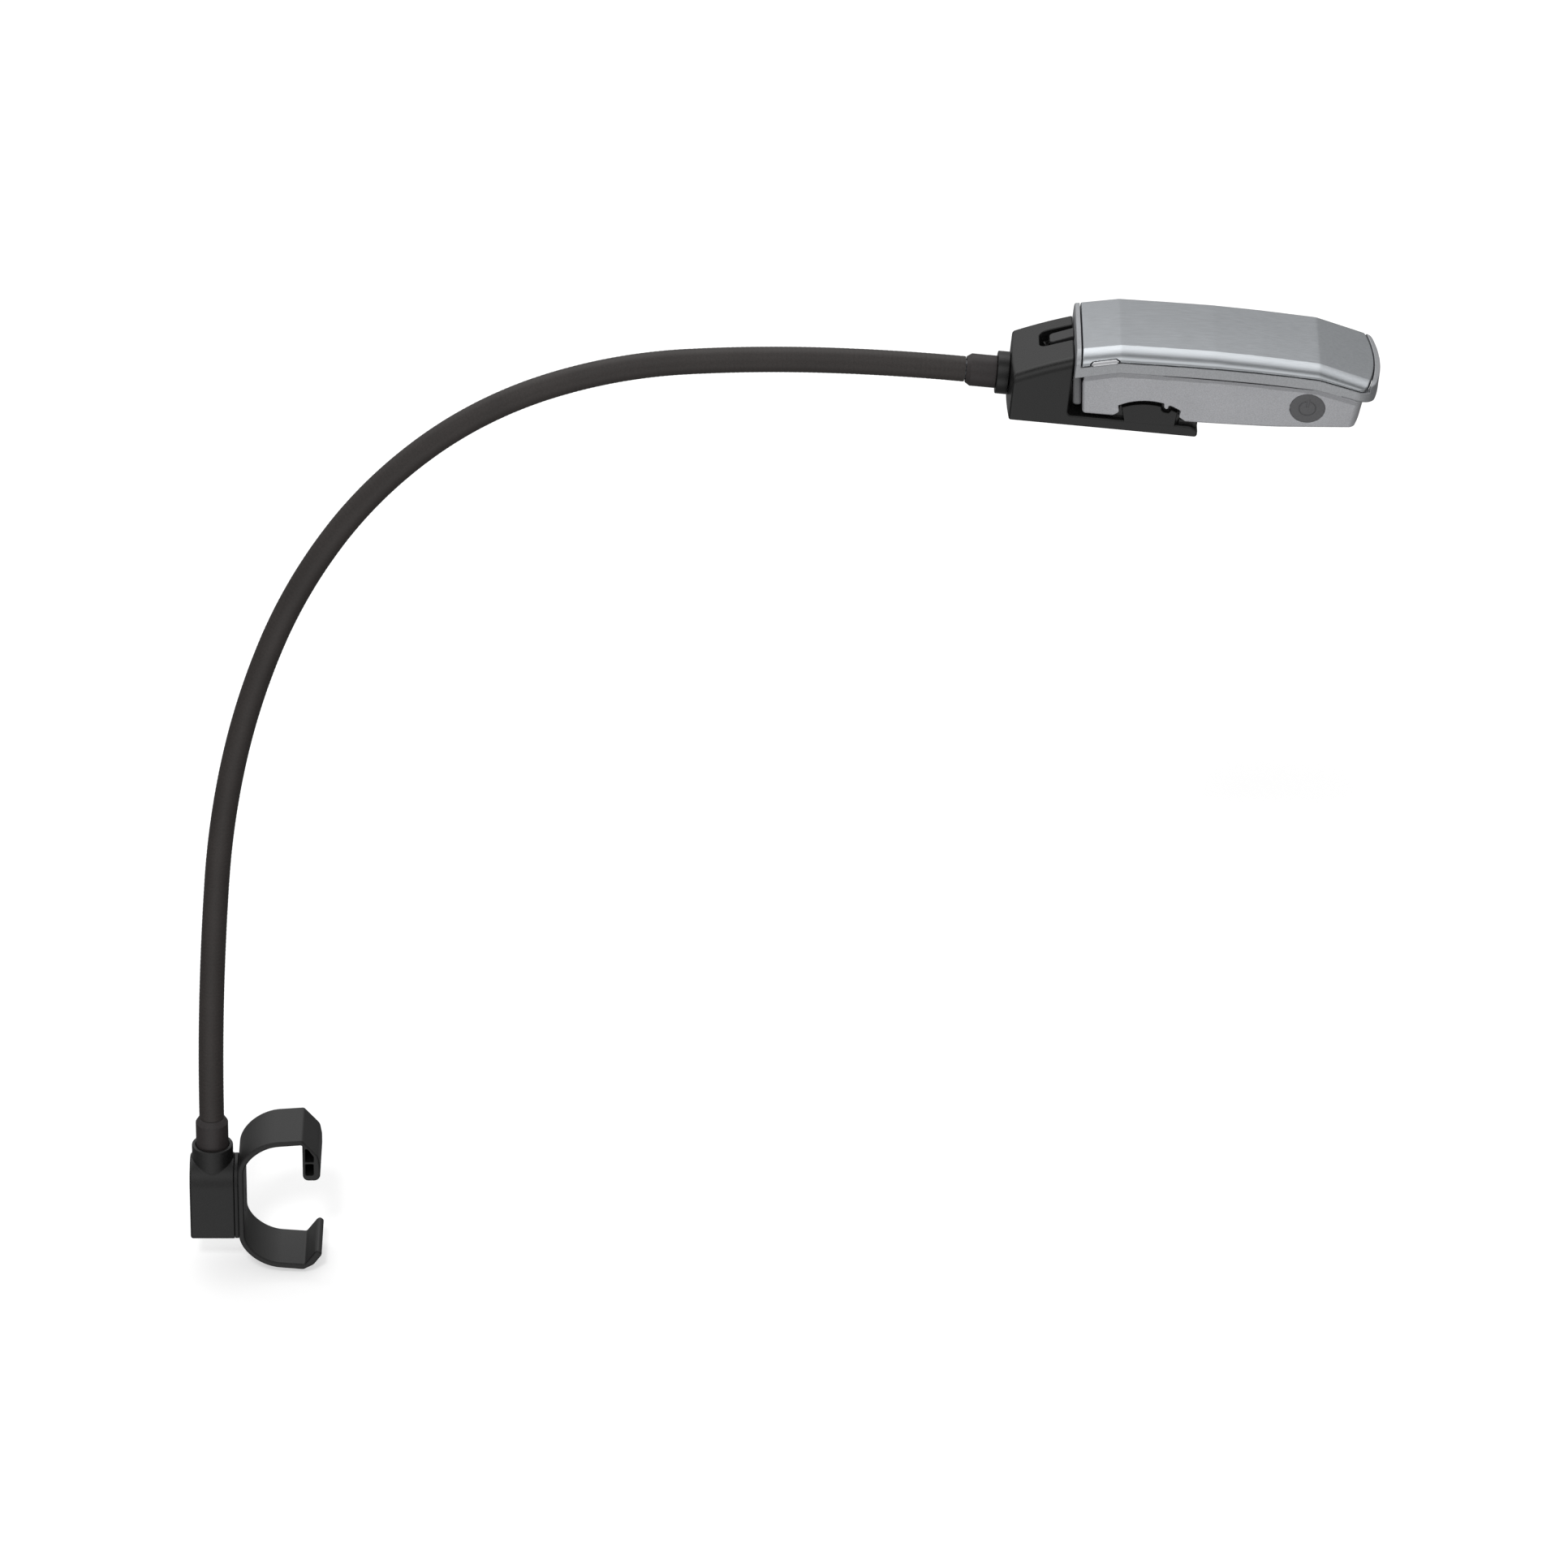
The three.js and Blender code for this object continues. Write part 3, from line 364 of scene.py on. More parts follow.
def lathe(name, corners, finish, place, sides=72, steps=5):
    """A turned piece about x. The corners are (x, radius, rounding) of its half section."""
    profile = filleted(corners, steps)
    points, rings = [], []
    for x, radius in profile:
        if radius < 1e-6:
            rings.append([len(points)])
            points.append((x, 0, 0))
            continue
        rings.append(list(range(len(points), len(points) + sides)))
        for k in range(sides):
            angle = 2 * math.pi * k / sides
            points.append((x, radius * math.cos(angle), radius * math.sin(angle)))
    faces = []
    for one, two in zip(rings, rings[1:] + rings[:1]):
        if len(one) == len(two) == 1:
            continue
        for k in range(sides):
            n = (k + 1) % sides
            face = [one[k % len(one)], one[n % len(one)], two[n % len(two)], two[k % len(two)]]
            faces.append(list(dict.fromkeys(face)))
    mesh = mesh_of(name, points, faces)
    mesh.transform(metres(place))
    mesh.shade_smooth()
    mesh.set_sharp_from_angle(angle=math.radians(40))
    return linked(name, mesh, finish)


def sweep(name, path, finish, sides):
    """A tube along a list of (point, side, up, radius) in metres."""
    points, faces = [], []
    for middle, side, up, radius in path:
        for k in range(sides):
            angle = 2 * math.pi * k / sides
            points.append(middle + (side * math.cos(angle) + up * math.sin(angle)) * radius)
    for i in range(len(path) - 1):
        for k in range(sides):
            n = (k + 1) % sides
            a, b = i * sides, (i + 1) * sides
            faces.append((a + k, a + n, b + n, b + k))
    faces.append(tuple(range(sides))[::-1])
    faces.append(tuple(range(len(points) - sides, len(points))))
    mesh = mesh_of(name, points, faces)
    mesh.shade_smooth()
    mesh.set_sharp_from_angle(angle=math.radians(50))
    return linked(name, mesh, finish)


# ---- Materials --------------------------------------------------------------------------------------


def linear(value):
    """A channel from 0 to 255 as linear light."""
    value /= 255
    return value / 12.92 if value <= 0.04045 else ((value + 0.055) / 1.055) ** 2.4


def finish(
    name,
    rgb,
    rough,
    metal=0.0,
    grain=0.0,
    scale=1900.0,
    speck=0.05,
    cloud=0.03,
    spread=0.06,
    coat=0.0,
    brushed=False,
):
    """A moulded or painted finish whose colour and roughness vary a little.

    The grain is the height of its fine bumps in millimetres. Speck and cloud are how far the colour
    varies over small and large patches, and spread is how far the roughness does.
    """
    material = bpy.data.materials.new(name)
    material.use_nodes = True
    nodes, links = material.node_tree.nodes, material.node_tree.links
    shader = nodes["Principled BSDF"]
    shader.inputs["Metallic"].default_value = metal
    shader.inputs["Coat Weight"].default_value = coat
    shader.inputs["Coat Roughness"].default_value = 0.15
    where = nodes.new("ShaderNodeTexCoord")

    def noise(size, detail, stretch=None):
        texture = nodes.new("ShaderNodeTexNoise")
        texture.inputs["Scale"].default_value = size
        texture.inputs["Detail"].default_value = detail
        texture.inputs["Roughness"].default_value = 0.55
        if stretch:
            turned = nodes.new("ShaderNodeMapping")
            turned.inputs["Rotation"].default_value = (0, math.radians(-6), 0)
            turned.inputs["Scale"].default_value = stretch
            links.new(where.outputs["Object"], turned.inputs["Vector"])
            links.new(turned.outputs["Vector"], texture.inputs["Vector"])
        else:
            links.new(where.outputs["Object"], texture.inputs["Vector"])
        return texture.outputs["Fac"]

    def spanned(value, low, high):
        span = nodes.new("ShaderNodeMapRange")
        span.inputs["From Min"].default_value = 0.3
        span.inputs["From Max"].default_value = 0.7
        span.inputs["To Min"].default_value = low
        span.inputs["To Max"].default_value = high
        links.new(value, span.inputs["Value"])
        return span.outputs["Result"]

    fine = noise(scale, 2, (0.012, 1, 1) if brushed else None)
    wide = noise(60, 3)
    product = nodes.new("ShaderNodeMath")
    product.operation = "MULTIPLY"
    links.new(spanned(fine, 1 - speck, 1 + speck), product.inputs[0])
    links.new(spanned(wide, 1 - cloud, 1 + cloud), product.inputs[1])
    tint = nodes.new("ShaderNodeVectorMath")
    tint.operation = "SCALE"
    tint.inputs[0].default_value = [linear(v) for v in rgb]
    links.new(product.outputs[0], tint.inputs["Scale"])
    links.new(tint.outputs["Vector"], shader.inputs["Base Color"])
    links.new(spanned(fine, rough - spread / 2, rough + spread / 2), shader.inputs["Roughness"])
    if grain:
        bump = nodes.new("ShaderNodeBump")
        bump.inputs["Strength"].default_value = 1.0
        bump.inputs["Distance"].default_value = grain * 0.001
        links.new(fine, bump.inputs["Height"])
        links.new(bump.outputs["Normal"], shader.inputs["Normal"])
    return material


BLACK = finish("black_moulding", (36, 36, 36), 0.42, grain=0.03, speck=0.3, cloud=0.08)
CRADLE_BLACK = finish("cradle_black", (28, 28, 28), 0.3, grain=0.025, speck=0.3, cloud=0.08)
SLIDER_BLACK = finish("slider_black", (54, 54, 55), 0.4, grain=0.02, speck=0.2)
SLEEVE = finish("neck_cover", (64, 59, 57), 0.52, grain=0.02, speck=0.16, cloud=0.1)
FERRULE = finish("ferrule_moulding", (60, 55, 55), 0.5, grain=0.015, speck=0.16, cloud=0.06)
SILVER = finish("silver_paint", (190, 192, 195), 0.42, metal=0.5, grain=0.008, scale=2800, speck=0.12)
MATTE_SILVER = finish(
    "matte_silver", (216, 217, 221), 0.5, metal=0.35, grain=0.01, scale=2800, speck=0.12
)
SATIN = finish(
    "satin_silver", (198, 202, 206), 0.24, metal=0.95, scale=2600, cloud=0.02, spread=0.05, brushed=True
)
BRIGHT = finish("bright_trim", (226, 227, 230), 0.2, metal=1.0, speck=0.02)
# Housing silver painted down to grey for the seat strip: painted shade for its place under the rim's end
# plate.
PAD_SHADED_SILVER = finish("pad_silver_painted_shade", (128, 129, 131), 0.5, metal=0.3, grain=0.012, speck=0.1)
BUTTON_GREY = finish("button_grey", (116, 116, 118), 0.55, grain=0.01, speck=0.08)
STEEL = finish("plated_steel", (176, 178, 182), 0.3, metal=1.0, speck=0.05)
# Near black for the release spring: painted shade, so the spring reads as the dark inside the slot.
SPRING_PAINTED_SHADE = finish("spring_painted_shade", (20, 20, 20), 0.5)
DARK_STEEL = finish("blackened_steel", (46, 46, 48), 0.42, metal=0.8, speck=0.08)
GREEN = finish("solder_mask", (26, 88, 56), 0.35, speck=0.08, cloud=0.06, coat=0.3)
CELL_WRAP = finish("cell_wrap", (88, 92, 98), 0.3, speck=0.03, coat=0.4)
TRAY_BLACK = finish("tray_black", (34, 34, 35), 0.55, grain=0.02, speck=0.16)
PHOSPHOR = finish("phosphor", (240, 214, 110), 0.3, speck=0.05, coat=0.5)
MIRROR = finish("metallised", (222, 223, 226), 0.1, metal=1.0, speck=0.02, spread=0.03)
LENS = finish("clear_lens", (226, 232, 236), 0.12, speck=0.02, spread=0.03)
lens_shader = LENS.node_tree.nodes["Principled BSDF"]
lens_shader.inputs["Transmission Weight"].default_value = 0.85
lens_shader.inputs["IOR"].default_value = 1.49


def shown(piece, body, slot, *nodes):
    """Rides the piece on its body, in place of the CAD nodes it stands for."""
    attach(piece, body)
    if nodes:
        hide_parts(*nodes)
    return piece


# ---- The clip ---------------------------------------------------------------------------------------

CLIP_WALL = 1.9
CLIP_HALF = 11.0
SCREW_Z = -4.5
SCREW_HOLE = 1.9


def bezier(p, count):
    """Points along a curve with four control points."""
    p = [np.array(q, float) for q in p]
    for i in range(count + 1):
        t = i / count
        weights = ((1 - t) ** 3, 3 * t * (1 - t) ** 2, 3 * t * t * (1 - t), t**3)
        yield sum(w * q for w, q in zip(weights, p))


def arm_inside(side):
    """The inner face of the upper arm, or with side -1 the lower one, from the spine outwards."""
    bend = bezier(((-11.4, 11), (-11.4, 15.6), (-6, 20.9), (0, 21.4)), 26)
    return [(x, side * z) for x, z in bend] + [(7.6, side * 22.0)]


def arm_outside(side):
    """The outer face of an arm, one wall out from its inner face."""
    inside = arm_inside(1)
    out = []
    for i, (x, z) in enumerate(inside):
        before, after = inside[max(i - 1, 0)], inside[min(i + 1, len(inside) - 1)]
        run = np.array((0, 1.0)) if i == 0 else np.array(after) - np.array(before)
        run /= np.linalg.norm(run)
        out.append((x - run[1] * CLIP_WALL, side * (z + run[0] * CLIP_WALL)))
    return out


def clip_outline():
    """The clip's section: the jaw with its shoulder and nose above, the lip and its heel below."""
    shoulder = [(7.6, 23.85, 0.9), (12.6, 18.1, 3.0), (13.2, 14.5, 2)]
    nose = [(13.2, 9, 2.0), (7.6, 9, 1.8)]
    lip = [(10.9, -17.6, 1.2), (12.0, -16.85, 0.9), (13.2, -17.9, 1.0), (13.1, -18.7, 2)]
    heel = [(10.5, -22.2, 3), (7.2, -23.95, 1.5)]
    return filleted(
        sharp(arm_outside(1)[:-1])
        + shoulder
        + nose
        + [(7.6, 22.0, 0.5)]
        + sharp(arm_inside(1)[:-1][::-1])
        + sharp(arm_inside(-1)[:-1])
        + [(7.6, -22.0, 0.8)]
        + lip
        + heel
        + sharp(arm_outside(-1)[:-1][::-1])
    )


def clip_field():
    around = outline(clip_outline())
    upper_pocket = outline(
        filleted([(8.5, 15.9, 0.4), (8.5, 20.7, 0.3), (9.3, 20.7, 0.3), (11.2, 17.8, 0.6), (11.2, 15.9, 0.4)])
    )
    lower_pocket = outline(
        filleted([(8.5, 11.0, 0.6), (11.1, 11.0, 0.8), (11.1, 15.2, 0.4), (8.5, 15.2, 0.4)])
    )

    def field(x, y, z):
        solid = both(around(x, z), np.abs(y) - CLIP_HALF, 0.6)
        pockets = np.minimum(upper_pocket(x, z), lower_pocket(x, z))
        solid = less(solid, np.maximum(pockets, 3.0 - np.abs(y)), 0.2)
        away = np.hypot(y, z - SCREW_Z)
        solid = less(solid, np.maximum(away - SCREW_HOLE, x + 10))
        sink = np.maximum((away - 4.2 - (x + 11.4) * 1.5) * 0.55, x + 5)
        return less(solid, np.maximum(sink, -(x + 12.8)), 0.1)

    return field


clip = moulded(
    "tube_clip_moulding", clip_field(), (-13.8, -11.5, -24.5), (13.8, 11.5, 24.5), BLACK, LAMP, 0.32
)
shown(clip, "clip", "tube_clip", "tube_clip")

# ---- The socket block -------------------------------------------------------------------------------

BLOCK_RADIUS = 8.5
BLOCK_CENTRE_Z = 3.6
BLOCK_BOTTOM = -14.2


def arch_shape(y, z, inset=0.0, corner=1.2):
    """Flat sides and bottom under a half-round top."""
    radius = BLOCK_RADIUS - inset
    sides = np.abs(y) - radius
    upper = np.where(z > BLOCK_CENTRE_Z, np.hypot(y, z - BLOCK_CENTRE_Z) - radius, sides)
    return both(upper, BLOCK_BOTTOM + inset - z, corner)


def block_field(x, y, z):
    body = both(arch_shape(y, z), -28.9 - x, 0.9)
    body = both(body, x + 14.7, 0.3)
    away = np.hypot(x - NECK_X, y)
    collar = both(away - 6.6, slab(z, 3.6, 16.7), 0.45)
    body = either(body, collar, 0.25)
    body = less(body, np.maximum(away - 5.35, 3.7 - z), 0.3)
    body = less(body, np.maximum(np.hypot(y, z - SCREW_Z) - SCREW_HOLE, -24 - x), 0.1)
    slot = block(x, y, z, (-26.9, 0, -8.1), (-19, 12, -0.9), 0.3)
    body = less(body, slot, 0.2)
    return less(body, np.maximum(np.hypot(x - NECK_X, z - 8) - 1.9, -y), 0.2)


socket = moulded(
    "socket_block_moulding", block_field, (-29.4, -9, -14.7), (-14.2, 9, 17.2), BLACK, LAMP, 0.28
)
shown(socket, "stem", "socket_block", "socket_block")


def plate_field(x, y, z):
    plate = both(arch_shape(y, z, 0.12, 1.0), slab(x, -14.63, -13.37), 0.15)
    return less(plate, np.hypot(y, z - SCREW_Z) - SCREW_HOLE, 0.05)


plate = moulded(
    "friction_washer", plate_field, (-14.9, -8.8, -14.4), (-13.1, 8.8, 12.4), BLACK, LAMP, 0.2, 0.3
)
shown(plate, "stem", "friction_plate", "friction_plate")

# ---- Ferrules and collar ----------------------------------------------------------------------------

# x up the neck from the origin's height.
UPRIGHT = Matrix(((0, 0, -1, NECK_X), (0, 1, 0, 0), (1, 0, 0, 0), (0, 0, 0, 1)))

lower_ferrule = lathe(
    "ferrule_low",
    [
        (4, 0, 0),
        (4, 5.2, 0.3),
        (24.7, 5.2, 0.5),
        (26.5, 4.06, 0.15),
        (26.5, 3.2, 0),
        (18.3, 3.2, 0),
        (18.3, 0, 0),
    ],
    FERRULE,
    UPRIGHT,
)
shown(lower_ferrule, "stem", "ferrules", "lower_ferrule")

upper_ferrule = lathe(
    "ferrule_high",
    [
        (6.2, 0, 0),
        (6.2, 3.2, 0),
        (0.1, 3.2, 0),
        (0.1, 4.06, 0.1),
        (1.6, 5.05, 0.4),
        (9.5, 5.05, 0.15),
        (9.5, 3.4, 0),
        (23.5, 3.4, 0.4),
        (23.5, 0, 0),
    ],
    FERRULE,
    HEAD,
)
shown(upper_ferrule, "bracket", "ferrules", "upper_ferrule")

collar = lathe(
    "collar_ring",
    [(9.6, 3.7, 0.1), (9.6, 6.65, 0.3), (13.2, 6.65, 0.1), (13.2, 3.7, 0.1)],
    CRADLE_BLACK,
    HEAD,
)
shown(collar, "bracket", "neck_collar", "neck_collar")

# ---- The neck ---------------------------------------------------------------------------------------
# Each piece runs from the middle of one stretch to the middle of the next and bends over the joint.

CHAIN = ["stem"] + [f"neck_{i}" for i in range(2, 10)] + ["bracket"]


def neck_path(start, end, radius_at, step):
    """A length of the neck as a path for sweep."""
    count = max(2, int(round((end - start) / step)))
    path = []
    for i in range(count + 1):
        s = start + (end - start) * i / count
        here = metres(frame_at(s))
        up = here.to_3x3().col[2].normalized()
        path.append((here.translation, Vector((0, 1, 0)), up, radius_at(s) * 0.001))
    return path


def sleeve_radius(s):
    """A smooth cover with faint rings from the coil under it."""
    ring = 0.5 + 0.5 * math.cos(2 * math.pi * s / 1.48)
    swell = 0.5 + 0.5 * math.sin(s * 0.83) * math.sin(s * 0.31)
    return NECK_RADIUS - 0.02 - (0.02 + 0.035 * swell) * ring**2


def coil_radius(s):
    """A wire wound closely, with a groove between its turns."""
    return CORE_RADIUS - 0.25 * abs(math.sin(math.pi * s / 1.2))


def point_at(s):
    return tuple(metres(frame_at(s)).translation)


joints_at = [STRETCH * i for i in range(1, len(TURNS))]
cuts = [0.2] + [s - STRETCH / 2 for s in joints_at] + [NECK_LENGTH - STRETCH / 2, NECK_LENGTH - 0.2]
for i, (start, end) in enumerate(zip(cuts, cuts[1:])):
    number = i + 1
    first, last = i == 0, i == len(cuts) - 2
    sleeve = sweep(f"sleeve_{number}", neck_path(start, end, sleeve_radius, 0.247), SLEEVE, 44)
    inner_start = start - 7 if first else start
    inner_end = end + 5 if last else end
    core = sweep(f"coil_{number}", neck_path(inner_start, inner_end, coil_radius, 0.3), STEEL, 16)
    for piece, slot in ((sleeve, "neck_sleeve"), (core, "neck_core")):
        if first or last:
            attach(piece, CHAIN[0] if first else CHAIN[-1])
        else:
            point_at(start)
            point_at(end)
            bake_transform(piece)
        if number <= len(TURNS):
            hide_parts(f"{slot}_{number}")

# ---- The cradle -------------------------------------------------------------------------------------

CRADLE_HALF = 15.75
WALL_X = 32.05
# The straight line that the bowed top follows, from its left end to its right end.
SLOPE_START = (12.3, 6.26)
SLOPE_END = (31.4, 14.2)
SLOPE = math.atan2(SLOPE_END[1] - SLOPE_START[1], SLOPE_END[0] - SLOPE_START[0])
SLOT_Y = 3.85
FLOOR_Z = -4.8
CHEEK_IN = CRADLE_HALF - 2.3
LEFT_X = 13.45
LEFT_RADIUS = 190.0


def on_slope(x, y, z):
    """Coordinates with x up the cradle's sloping top and z out of it, from its upper edge."""
    c, s = math.cos(SLOPE), math.sin(SLOPE)
    dx, dz = x - SLOPE_END[0], z - SLOPE_END[1]
    return dx * c + dz * s, y - SLOT_Y, dz * c - dx * s


def crown(left, right, middle, radius, top, count=10):
    """Points on the top of a circle from one x to another."""
    centre = top - radius
    for i in range(count + 1):
        x = left + (right - left) * i / count
        yield (x, centre + math.sqrt(radius**2 - (x - middle) ** 2))


HUMP = (
    [(49.9, -6, 0)]
    + sharp(crown(48.5, 60.6, 57, 20.8, 1.46))
    + [(60.8, 0.0, 0.4), (61.6, -0.65, 0.4), (63.0, -0.85, 0.4), (63.95, 0.35, 0.2)]
    + sharp(crown(64.1, 65.8, 57, 20.8, 1.46, 3))
    + [(65.3, -6, 0)]
)
ARCH = (
    [(45.7, -7, 0), (46.1, -2.95, 0.5), (47.75, -1.75, 0.9)]
    + sharp(crown(47.2, 61.2, 57, 18.8, 3.45, 14))
    + [(61.4, 1.5, 0.4), (62.1, 0.9, 0.5), (62.6, 1.35, 0.3), (62.85, 2.35, 0.2)]
    + sharp(crown(63.3, 66.65, 57, 18.8, 3.45, 4))
    + [(66.4, -1.6, 0.6), (68.3, -2.7, 0.6), (68.7, -7, 0)]
)


def cradle_field():
    side = outline(
        filleted(
            [
                (5, -8.3, 0),
                (72.7, -8.3, 0.9),
                (72.7, -6.1, 0.5),
                (70.4, -4.75, 2.5),
                (WALL_X, FLOOR_Z, 1.3),
                (WALL_X, 40, 0),
                (5, 40, 0),
            ]
        )
    )
    hump = outline(filleted(HUMP))
    # The arch outline again, for a dark web that stands in for shade in the arch gap.
    shade_web_outline = outline(filleted(ARCH))
    slot = outline(filleted([(-10.2, -5.3, 2.6), (8, -5.3, 0), (8, 5.3, 0), (-10.2, 5.3, 2.6)], 8))

    def field(x, y, z):
        start_x, start_z = SLOPE_START
        middle = (x - (SLOPE_END[0] + start_x) / 2) / ((SLOPE_END[0] - start_x) / 2)
        line = z - start_z - (x - start_x) * math.tan(SLOPE)
        top = (line - 0.35 * (1 - middle**2)) * math.cos(SLOPE)
        lid = np.where(x > WALL_X, -9.0, top)
        flank = np.abs(y) - CRADLE_HALF
        ridge = both(lid, flank, np.where(y < 0, 3.1, 0.9))
        left = np.hypot(LEFT_RADIUS + LEFT_X - x, y) - LEFT_RADIUS
        body = both(side(x, z), np.where(x > WALL_X, flank, ridge), 0.55)
        body = both(body, left, 0.7)
        cheek = both(hump(x, z), slab(np.abs(y), CHEEK_IN, CRADLE_HALF), 0.25)
        body = either(body, cheek, 0.05)
        # A thin black web behind the housing's arch gap, wider than the hump: a dark sheet standing in for
        # the shade inside that gap.
        shade_web = np.maximum(shade_web_outline(x, z) + 0.25, slab(np.abs(y), CHEEK_IN - 0.7, CHEEK_IN + 0.3))
        body = either(body, np.maximum(shade_web, -6.5 - z))
        body = either(body, block(x, y, z, (66.4, -14.1, -7), (72.5, 14.1, -3.15), 0.5), 0.1)
        sx, sy, sz = on_slope(x, y, z)
        pit = np.maximum(slot(sx, sy), -3.4 - sz)
        body = less(body, pit, 0.45)
        spring_hole = np.maximum(np.hypot(sy, sz + 1.9) - 1.7, slab(sx, -15.6, -8))
        body = less(body, spring_hole, 0.1)
        body = less(body, np.maximum(np.hypot(y, z) - 3.7, x - 23.8), 0.3)
        screw_hole = np.maximum(np.hypot(x - 19, y) - 1.8, z)
        return less(body, screw_hole, 0.25)

    return field


cradle = moulded(
    "cradle_moulding", cradle_field(), (12.8, -16.3, -8.9), (73.2, 16.3, 15.4), CRADLE_BLACK, HEAD
)
shown(cradle, "bracket", "cradle", "cradle")


def slider_field():
    tongue = outline(filleted([(-7.1, -2.9, 1.3), (3, -2.9, 0), (3, 2.9, 0), (-7.1, 2.9, 1.3)], 8))

    def field(x, y, z):
        sx, sy, sz = on_slope(x, y, z)
        body = both(tongue(sx, sy), slab(sz, -2.9, -0.05), 0.35)
        seat = np.maximum(np.hypot(sy + 0.45, sz + 1.9) - 1.6, sx + 3.7)
        body = less(body, seat, 0.1)
        return both(body, x - WALL_X - 0.1, 0.1)

    return field


slider = moulded(
    "slider_tongue", slider_field(), (24, 0.4, 7.0), (32.5, 7.3, 15.0), SLIDER_BLACK, HEAD, 0.2, 0.4
)
shown(slider, "release_slider", "release_slider", "release_slider")

# ---- The lamp head ----------------------------------------------------------------------------------


def plan_field(left, right, half, corner, bulge=3.0, left_corner=0.4):
    """A plan with a straight left end and a convex right end with rounded corners."""
    radius = (half * half + bulge * bulge) / (2 * bulge)

    def field(x, y):
        sides = np.abs(y) - half
        end = np.hypot(x - (right - radius), y) - radius
        return both(both(end, sides, corner), left - x, left_corner)

    return field


CREASE = math.radians(25)
CROWN = 0.2
FRONT_EDGE, BACK_EDGE = 5.2, 3.4


def cover_skin(x, y, z, inset=0.0):
    """The field of the flat top and its rounded long edges, with no ends."""
    seam, top = along(SEAM, x), along(TOP, x)
    crown = CROWN * (top - seam) / EDGE_RADIUS
    rise = top - seam - crown
    width = np.where(y < 0, FRONT_EDGE, BACK_EDGE)
    flat = HALF_WIDTH - width
    lid = z - top + crown * np.minimum(y / flat, 1.2) ** 2
    across = (np.abs(y) - flat) / width * (1 - math.sin(CREASE)) + math.sin(CREASE)
    up = (z - seam) / rise * math.cos(CREASE)
    arc = (np.hypot(np.maximum(across, 0), np.maximum(up, 0)) - 1) * rise / math.cos(CREASE)
    side = np.where(z > seam, arc, np.abs(y) - HALF_WIDTH)
    return both(lid, side) + inset


def rim_field():
    outer = plan_field(32.4, 127.5, HALF_WIDTH, 5.2, left_corner=0.35)
    inner = plan_field(34.0, 125.6, HALF_WIDTH - 2, 3.0)
    opening = plan_field(34.0, 125.7, HALF_WIDTH + 2, 0.3)

    def field(x, y, z):
        seam = along(SEAM, x)
        body = both(outer(x, y), cover_skin(x, y, z), 0.3)
        body = both(body, seam - RIM_HEIGHT - z, np.where(x > 115, 0.9, 0.35))
        body = less(body, inner(x, y), 0.3)
        above = both(opening(x, y), seam - z, 0.25)
        return less(body, above, 0.3)

    return field


rim = moulded("rim_moulding", rim_field(), (32.0, -20.7, 8.2), (128.0, 20.7, 21.6), SILVER, HEAD)
shown(rim, "lamp_head", "rim_frame", "rim_frame")

SEAM_TILT = math.atan2(16.8 - 13.5, 45.9 - 32.2)
CATCH_DOWN, CATCH_UP = -1.33, 0.03


def on_catch(x, y, z):
    """Coordinates along and across the catch, from its middle."""
    c, s = math.cos(SEAM_TILT), math.sin(SEAM_TILT)
    dx = x - 41.1
    dz = z - (along(SEAM, 41.1, 0.01) + 1.4)
    return dx * c + dz * s, y + HALF_WIDTH, dz * c - dx * s


def cover_field():
    plan = plan_field(34.3, 125.4, HALF_WIDTH, 2.4, left_corner=0.2)
    room = plan_field(35.7, 124.0, HALF_WIDTH - 1.4, 2.0)
    recess_up = CATCH_UP + 0.08
    recess = outline(
        filleted([(-4.1, -3, 0.1), (4.1, -3, 0.1), (4.1, recess_up, 0.5), (-4.1, recess_up, 0.5)])
    )

    def field(x, y, z):
        seam = along(SEAM, x)
        body = both(plan(x, y), cover_skin(x, y, z), 0.25)
        body = both(body, seam + GAP - z, 0.15)
        hollow = np.maximum(room(x, y), cover_skin(x, y, z, 1.4))
        body = less(body, hollow, 0.2)
        cx, cy, cz = on_catch(x, y, z)
        nubs = np.maximum(np.hypot(np.abs(cx) - 4.2, cz + 0.65) - 0.42, cy - 1.6)
        body = less(body, nubs, 0.04)
        return less(body, np.maximum(recess(cx, cz), cy - 3.2), 0.12)

    return field


cover = moulded(
    "cover_shell", cover_field(), (33.9, -20.6, 12.2), (125.9, 20.6, 22.4), SATIN, HEAD, 0.25, 0.45
)
shown(cover, "battery_cover", "battery_cover", "battery_cover")


def catch_field():
    pill = outline(
        filleted([(-4, CATCH_DOWN, 0.5), (4, CATCH_DOWN, 0.5), (4, CATCH_UP, 0.6), (-4, CATCH_UP, 0.6)], 8)
    )

    def field(x, y, z):
        cx, cy, cz = on_catch(x, y, z)
        lean = 0.4 * np.maximum(cz + 0.9, 0)
        body = both(pill(cx, cz), slab(cy, -0.2 + lean, 1.1 + lean), 0.22)
        nubs = np.hypot(np.hypot(np.abs(cx) - 4.05, cz + 0.65), cy + 0.02) - 0.26
        body = either(body, nubs, 0.03)
        groove = np.hypot(cz + 0.65, cy + 0.34) - 0.22
        return less(body, np.maximum(groove, np.abs(cx) - 3.6), 0.1)

    return field


catch = moulded(
    "catch_cap", catch_field(), (36.2, -20.8, 13.6), (46, -18.6, 18.6), BRIGHT, HEAD, 0.12, 0.5
)
shown(catch, "cover_catch", "cover_catch", "cover_catch")

# The height of the dark band under the rim.
BAND = 2.15


def housing_top(x):
    """The housing's upper edge, just inside the rim."""
    return along(SEAM, x) - RIM_HEIGHT + 0.1


# (x, y, top) of the four bosses that the screws go into.
BOSSES = ((62, 5.4, 4.4), (80, -5.4, 4.4), (100.5, 10.9, 5.3), (115, 10.9, 5.3))


